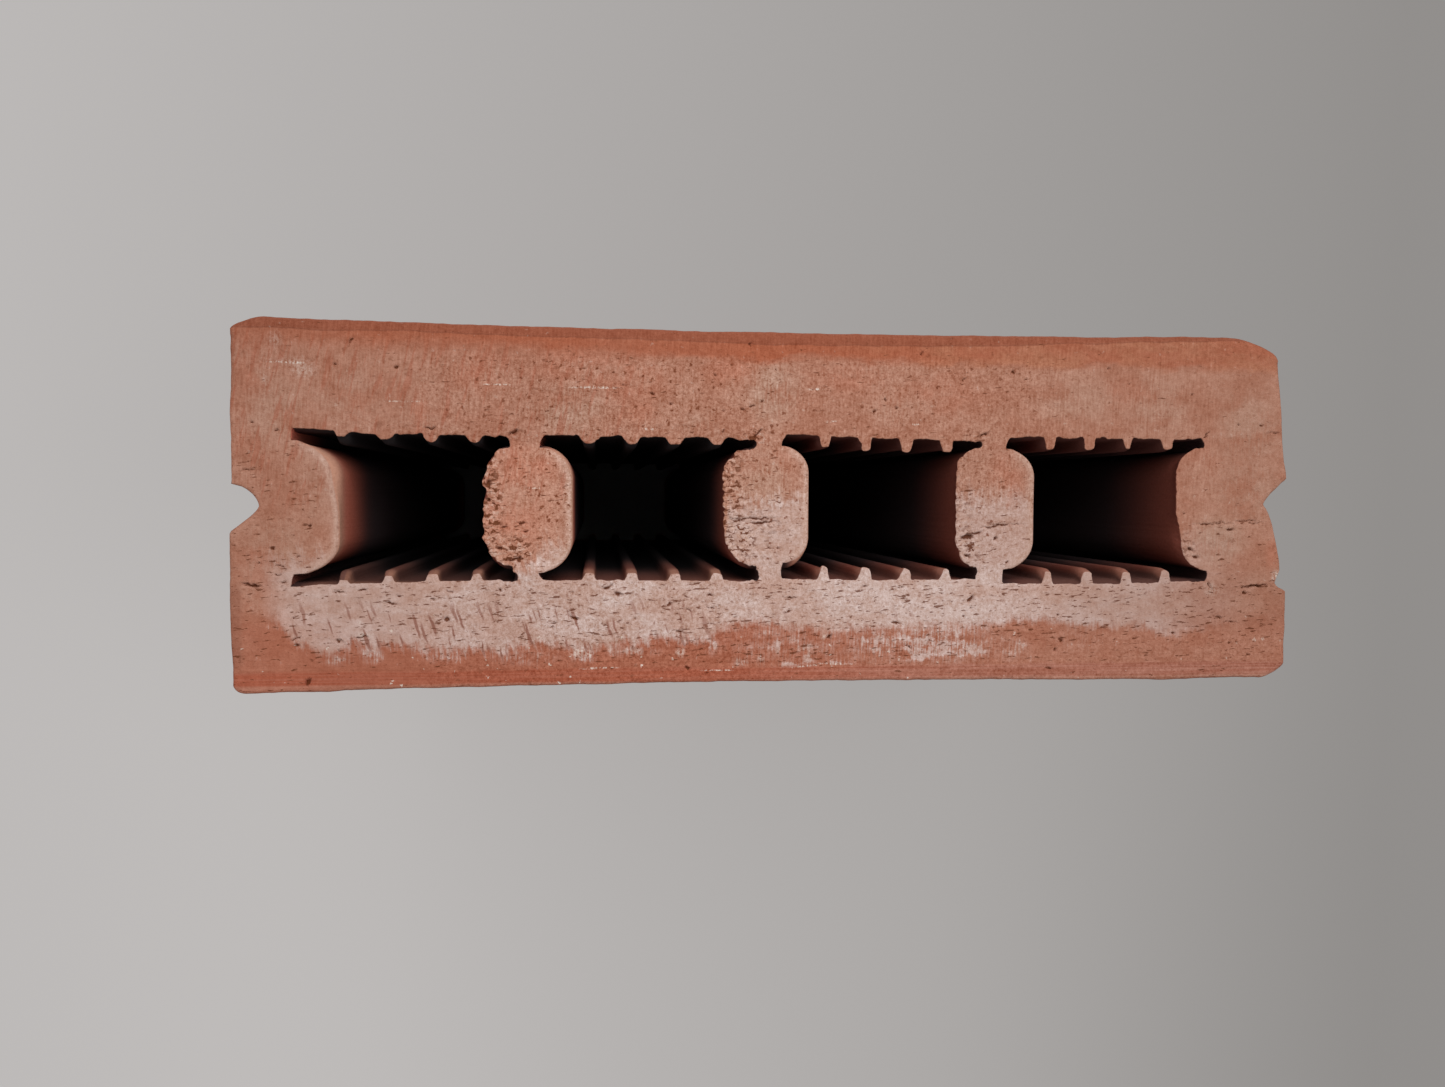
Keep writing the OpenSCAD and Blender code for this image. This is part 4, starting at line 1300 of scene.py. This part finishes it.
# long faces: skin drawn smooth by the die, clouded in the kiln, with faint lines along z, a thin veil of lime,
# small pits darkened with painted shade and a few pale scuffs; plain next to the cut ends
def drawnSkin():
    material, tree, shader = newFinish("drawnSkin")
    times, plus, _, about = sumsIn(tree)
    place = placeOn(tree)
    z = put(tree, "ShaderNodeSeparateXYZ", {0: place}).outputs[2]
    grain = grainOn(tree, place)
    away = between(tree, fromEnds(tree, z), 0.8, 7)
    kiln = cloud(tree, place, patterns["kiln"], detail=5, rough=0.6)
    dieLines = cloud(tree, place, patterns["dieLines"], detail=2)
    bands = cloud(tree, place, patterns["bands"], detail=2)
    veil = cloud(tree, place, patterns["veil"], detail=5, rough=0.68)
    patch = cloud(tree, place, patterns["patch"], detail=2)
    scuff = cloud(tree, place, patterns["scuff"], detail=2)
    scuff = times(between(tree, scuff, 0.62, 0.7), between(tree, patch, 0.52, 0.62))
    pits = flecks(tree, place, patterns["pits"], 0, 0.2, 0.07)

    colour = blend(tree, between(tree, kiln, 0.3, 0.52), clay["skinDark"], clay["skin"])
    colour = blend(tree, times(between(tree, kiln, 0.48, 0.7), 0.8), colour, clay["face"])
    colour = blend(tree, times(between(tree, veil, 0.52, 0.72), 0.3), colour, clay["scum"])
    colour = blend(tree, times(scuff, 0.35), colour, clay["rim"])
    colour = blend(tree, times(pits, 0.7), colour, clay["poreShade"])
    colour = blend(tree, away, clay["skin"], colour)
    drawn = times(plus(about(dieLines, 0.16), about(bands, 0.14)), away)
    colour = shaded(tree, colour, plus(drawn, about(grain, 0.6)), kept(tree, "tone"))
    height = number(tree, "SUBTRACT", plus(times(grain, 0.5), times(dieLines, 0.6)), pits)
    inputs = {"Value": kiln, "From Min": 0.3, "From Max": 0.7, "To Min": 0.92, "To Max": 0.78}
    roughness = put(tree, "ShaderNodeMapRange", inputs).outputs[0]
    fill(tree, shader, {"Base Color": colour, "Normal": bentBy(tree, height, 0.5), "Roughness": roughness,
                        "Specular IOR Level": 0.2})
    return material


# cells: the die's faint lines along z on the colour of the cells, with its painted light and shade
def cellSkin():
    material, tree, shader = newFinish("cellSkin")
    times, plus, _, about = sumsIn(tree)
    place = placeOn(tree)
    grain = grainOn(tree, place)
    dieLines = cloud(tree, place, patterns["cellLines"], detail=1)
    colour = inCells(tree, put(tree, "ShaderNodeSeparateXYZ", {0: place}).outputs[2])
    colour = shaded(tree, colour, about(grain, 0.6), kept(tree, "tone"))
    height = plus(times(grain, 0.6), times(dieLines, 0.6))
    fill(tree, shader, {"Base Color": colour, "Normal": bentBy(tree, height, 0.5), "Roughness": 0.9,
                        "Specular IOR Level": 0.1})
    return material


for finish in (terracotta, drawnSkin, cellSkin):
    tileBody.data.materials.append(finish())
print("finishes:", [material.name for material in tileBody.data.materials])
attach(tileBody, "root")
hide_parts("double_tile")


# Floor, light and camera

floorLook = {
    "left": (0.525, 0.506, 0.498, 1),
    "right": (0.287, 0.274, 0.265, 1),
    "span": (-0.28, 0.27),
    "reach": 2.0,
    "glow": 0.16,                               # how much paler the near side is, and where that comes in
    "glowLeft": (-0.3, -0.1),
    "glowRight": (0.28, 0.08),
    "glowNear": (0.03, -0.09),
    "steady": 0.85,                             # share of the floor's look that takes no shadow
}


# a flat pale floor, darker to the right; what is seen directly takes little shadow, but the part under the block
# is left to the light, so that the cells stay dark
def makeFloor():
    mesh = bpy.data.meshes.new("floor")
    reach = floorLook["reach"]
    corners = [(-reach, -reach, 0), (reach, -reach, 0), (reach, reach, 0), (-reach, reach, 0)]
    mesh.from_pydata(corners, [], [(0, 1, 2, 3)])
    floor = bpy.data.objects.new("floor", mesh)
    bpy.context.scene.collection.objects.link(floor)
    material, tree, shader = newFinish("paleFloor")
    times, _, most, _ = sumsIn(tree)
    where = put(tree, "ShaderNodeTexCoord").outputs["Object"]
    x, y = put(tree, "ShaderNodeSeparateXYZ", {0: where}).outputs[:2]
    inputs = {"Value": x, "From Min": floorLook["span"][0], "From Max": floorLook["span"][1]}
    across = put(tree, "ShaderNodeMapRange", inputs).outputs[0]
    colour = blend(tree, across, floorLook["left"], floorLook["right"])
    near = times(between(tree, x, *floorLook["glowLeft"]), between(tree, x, *floorLook["glowRight"]))
    near = times(near, between(tree, y, *floorLook["glowNear"]))
    near = number(tree, "MULTIPLY_ADD", near, floorLook["glow"], 1.0)
    near = put(tree, "ShaderNodeCombineColor", {0: near, 1: near, 2: near}).outputs[0]
    colour = blend(tree, 1.0, colour, near, "MULTIPLY")
    fill(tree, shader, {"Base Color": colour, "Roughness": 0.8, "Specular IOR Level": 0.1})
    ray = put(tree, "ShaderNodeLightPath").outputs
    seen = most(most(ray["Is Camera Ray"], ray["Is Glossy Ray"]), ray["Is Transmission Ray"])
    under = put(tree, "ShaderNodeVectorMath", {0: where}, operation="ABSOLUTE").outputs[0]
    under = put(tree, "ShaderNodeSeparateXYZ", {0: under}).outputs
    clearX = number(tree, "GREATER_THAN", under[0], halfWidth * mm)
    clearY = number(tree, "GREATER_THAN", under[1], halfThick * mm)
    seen = times(seen, most(clearX, clearY))
    plain = put(tree, "ShaderNodeEmission", {"Color": colour, "Strength": 1.0}).outputs[0]
    inputs = {0: times(seen, floorLook["steady"]), 1: shader.outputs[0], 2: plain}
    mixed = put(tree, "ShaderNodeMixShader", inputs)
    tree.links.new(mixed.outputs[0], tree.nodes["Material Output"].inputs["Surface"])
    mesh.materials.append(material)


windowLight = {
    "size": (1.3, 1.0),
    "energy": 14.5,
    "place": (0.15, 0.6, 1.35),
    "aim": (0, 0, 0.2),
    "room": 0.42,                               # strength of the even light from all round
}


# one wide soft lamp above and behind the block, in an evenly lit room
def makeLight():
    world = bpy.data.worlds.new("softRoom")
    bpy.context.scene.world = world
    world.use_nodes = True
    back = world.node_tree.nodes["Background"]
    back.inputs["Color"].default_value = (1, 1, 1, 1)
    back.inputs["Strength"].default_value = windowLight["room"]
    lamp = bpy.data.lights.new("windowLight", "AREA")
    lamp.shape = "RECTANGLE"
    lamp.size, lamp.size_y = windowLight["size"]
    lamp.energy = windowLight["energy"]
    holder = bpy.data.objects.new("windowLight", lamp)
    holder.location = windowLight["place"]
    bpy.context.scene.collection.objects.link(holder)
    holder.rotation_euler = (Vector(windowLight["aim"]) - holder.location).to_track_quat("-Z", "Y").to_euler()


cameraView = {
    "sensor": 36,
    "lens": 28.69,
    "near": 0.01,
    "place": (-0.0347, 0.0026, 0.4150),
    "turn": (-2.444, -6.215, 0.265),            # degrees
}


# the camera looks down on the cut end
def makeCamera():
    lens = bpy.data.cameras.new("camera")
    lens.sensor_width = cameraView["sensor"]
    lens.lens = cameraView["lens"]
    lens.clip_start = cameraView["near"]
    camera = bpy.data.objects.new("camera", lens)
    camera.location = cameraView["place"]
    camera.rotation_euler = [math.radians(v) for v in cameraView["turn"]]
    bpy.context.scene.collection.objects.link(camera)
    bpy.context.scene.camera = camera


makeFloor()
makeLight()
makeCamera()
bpy.context.scene.view_settings.view_transform = "Standard"
print("floor, light and camera placed")
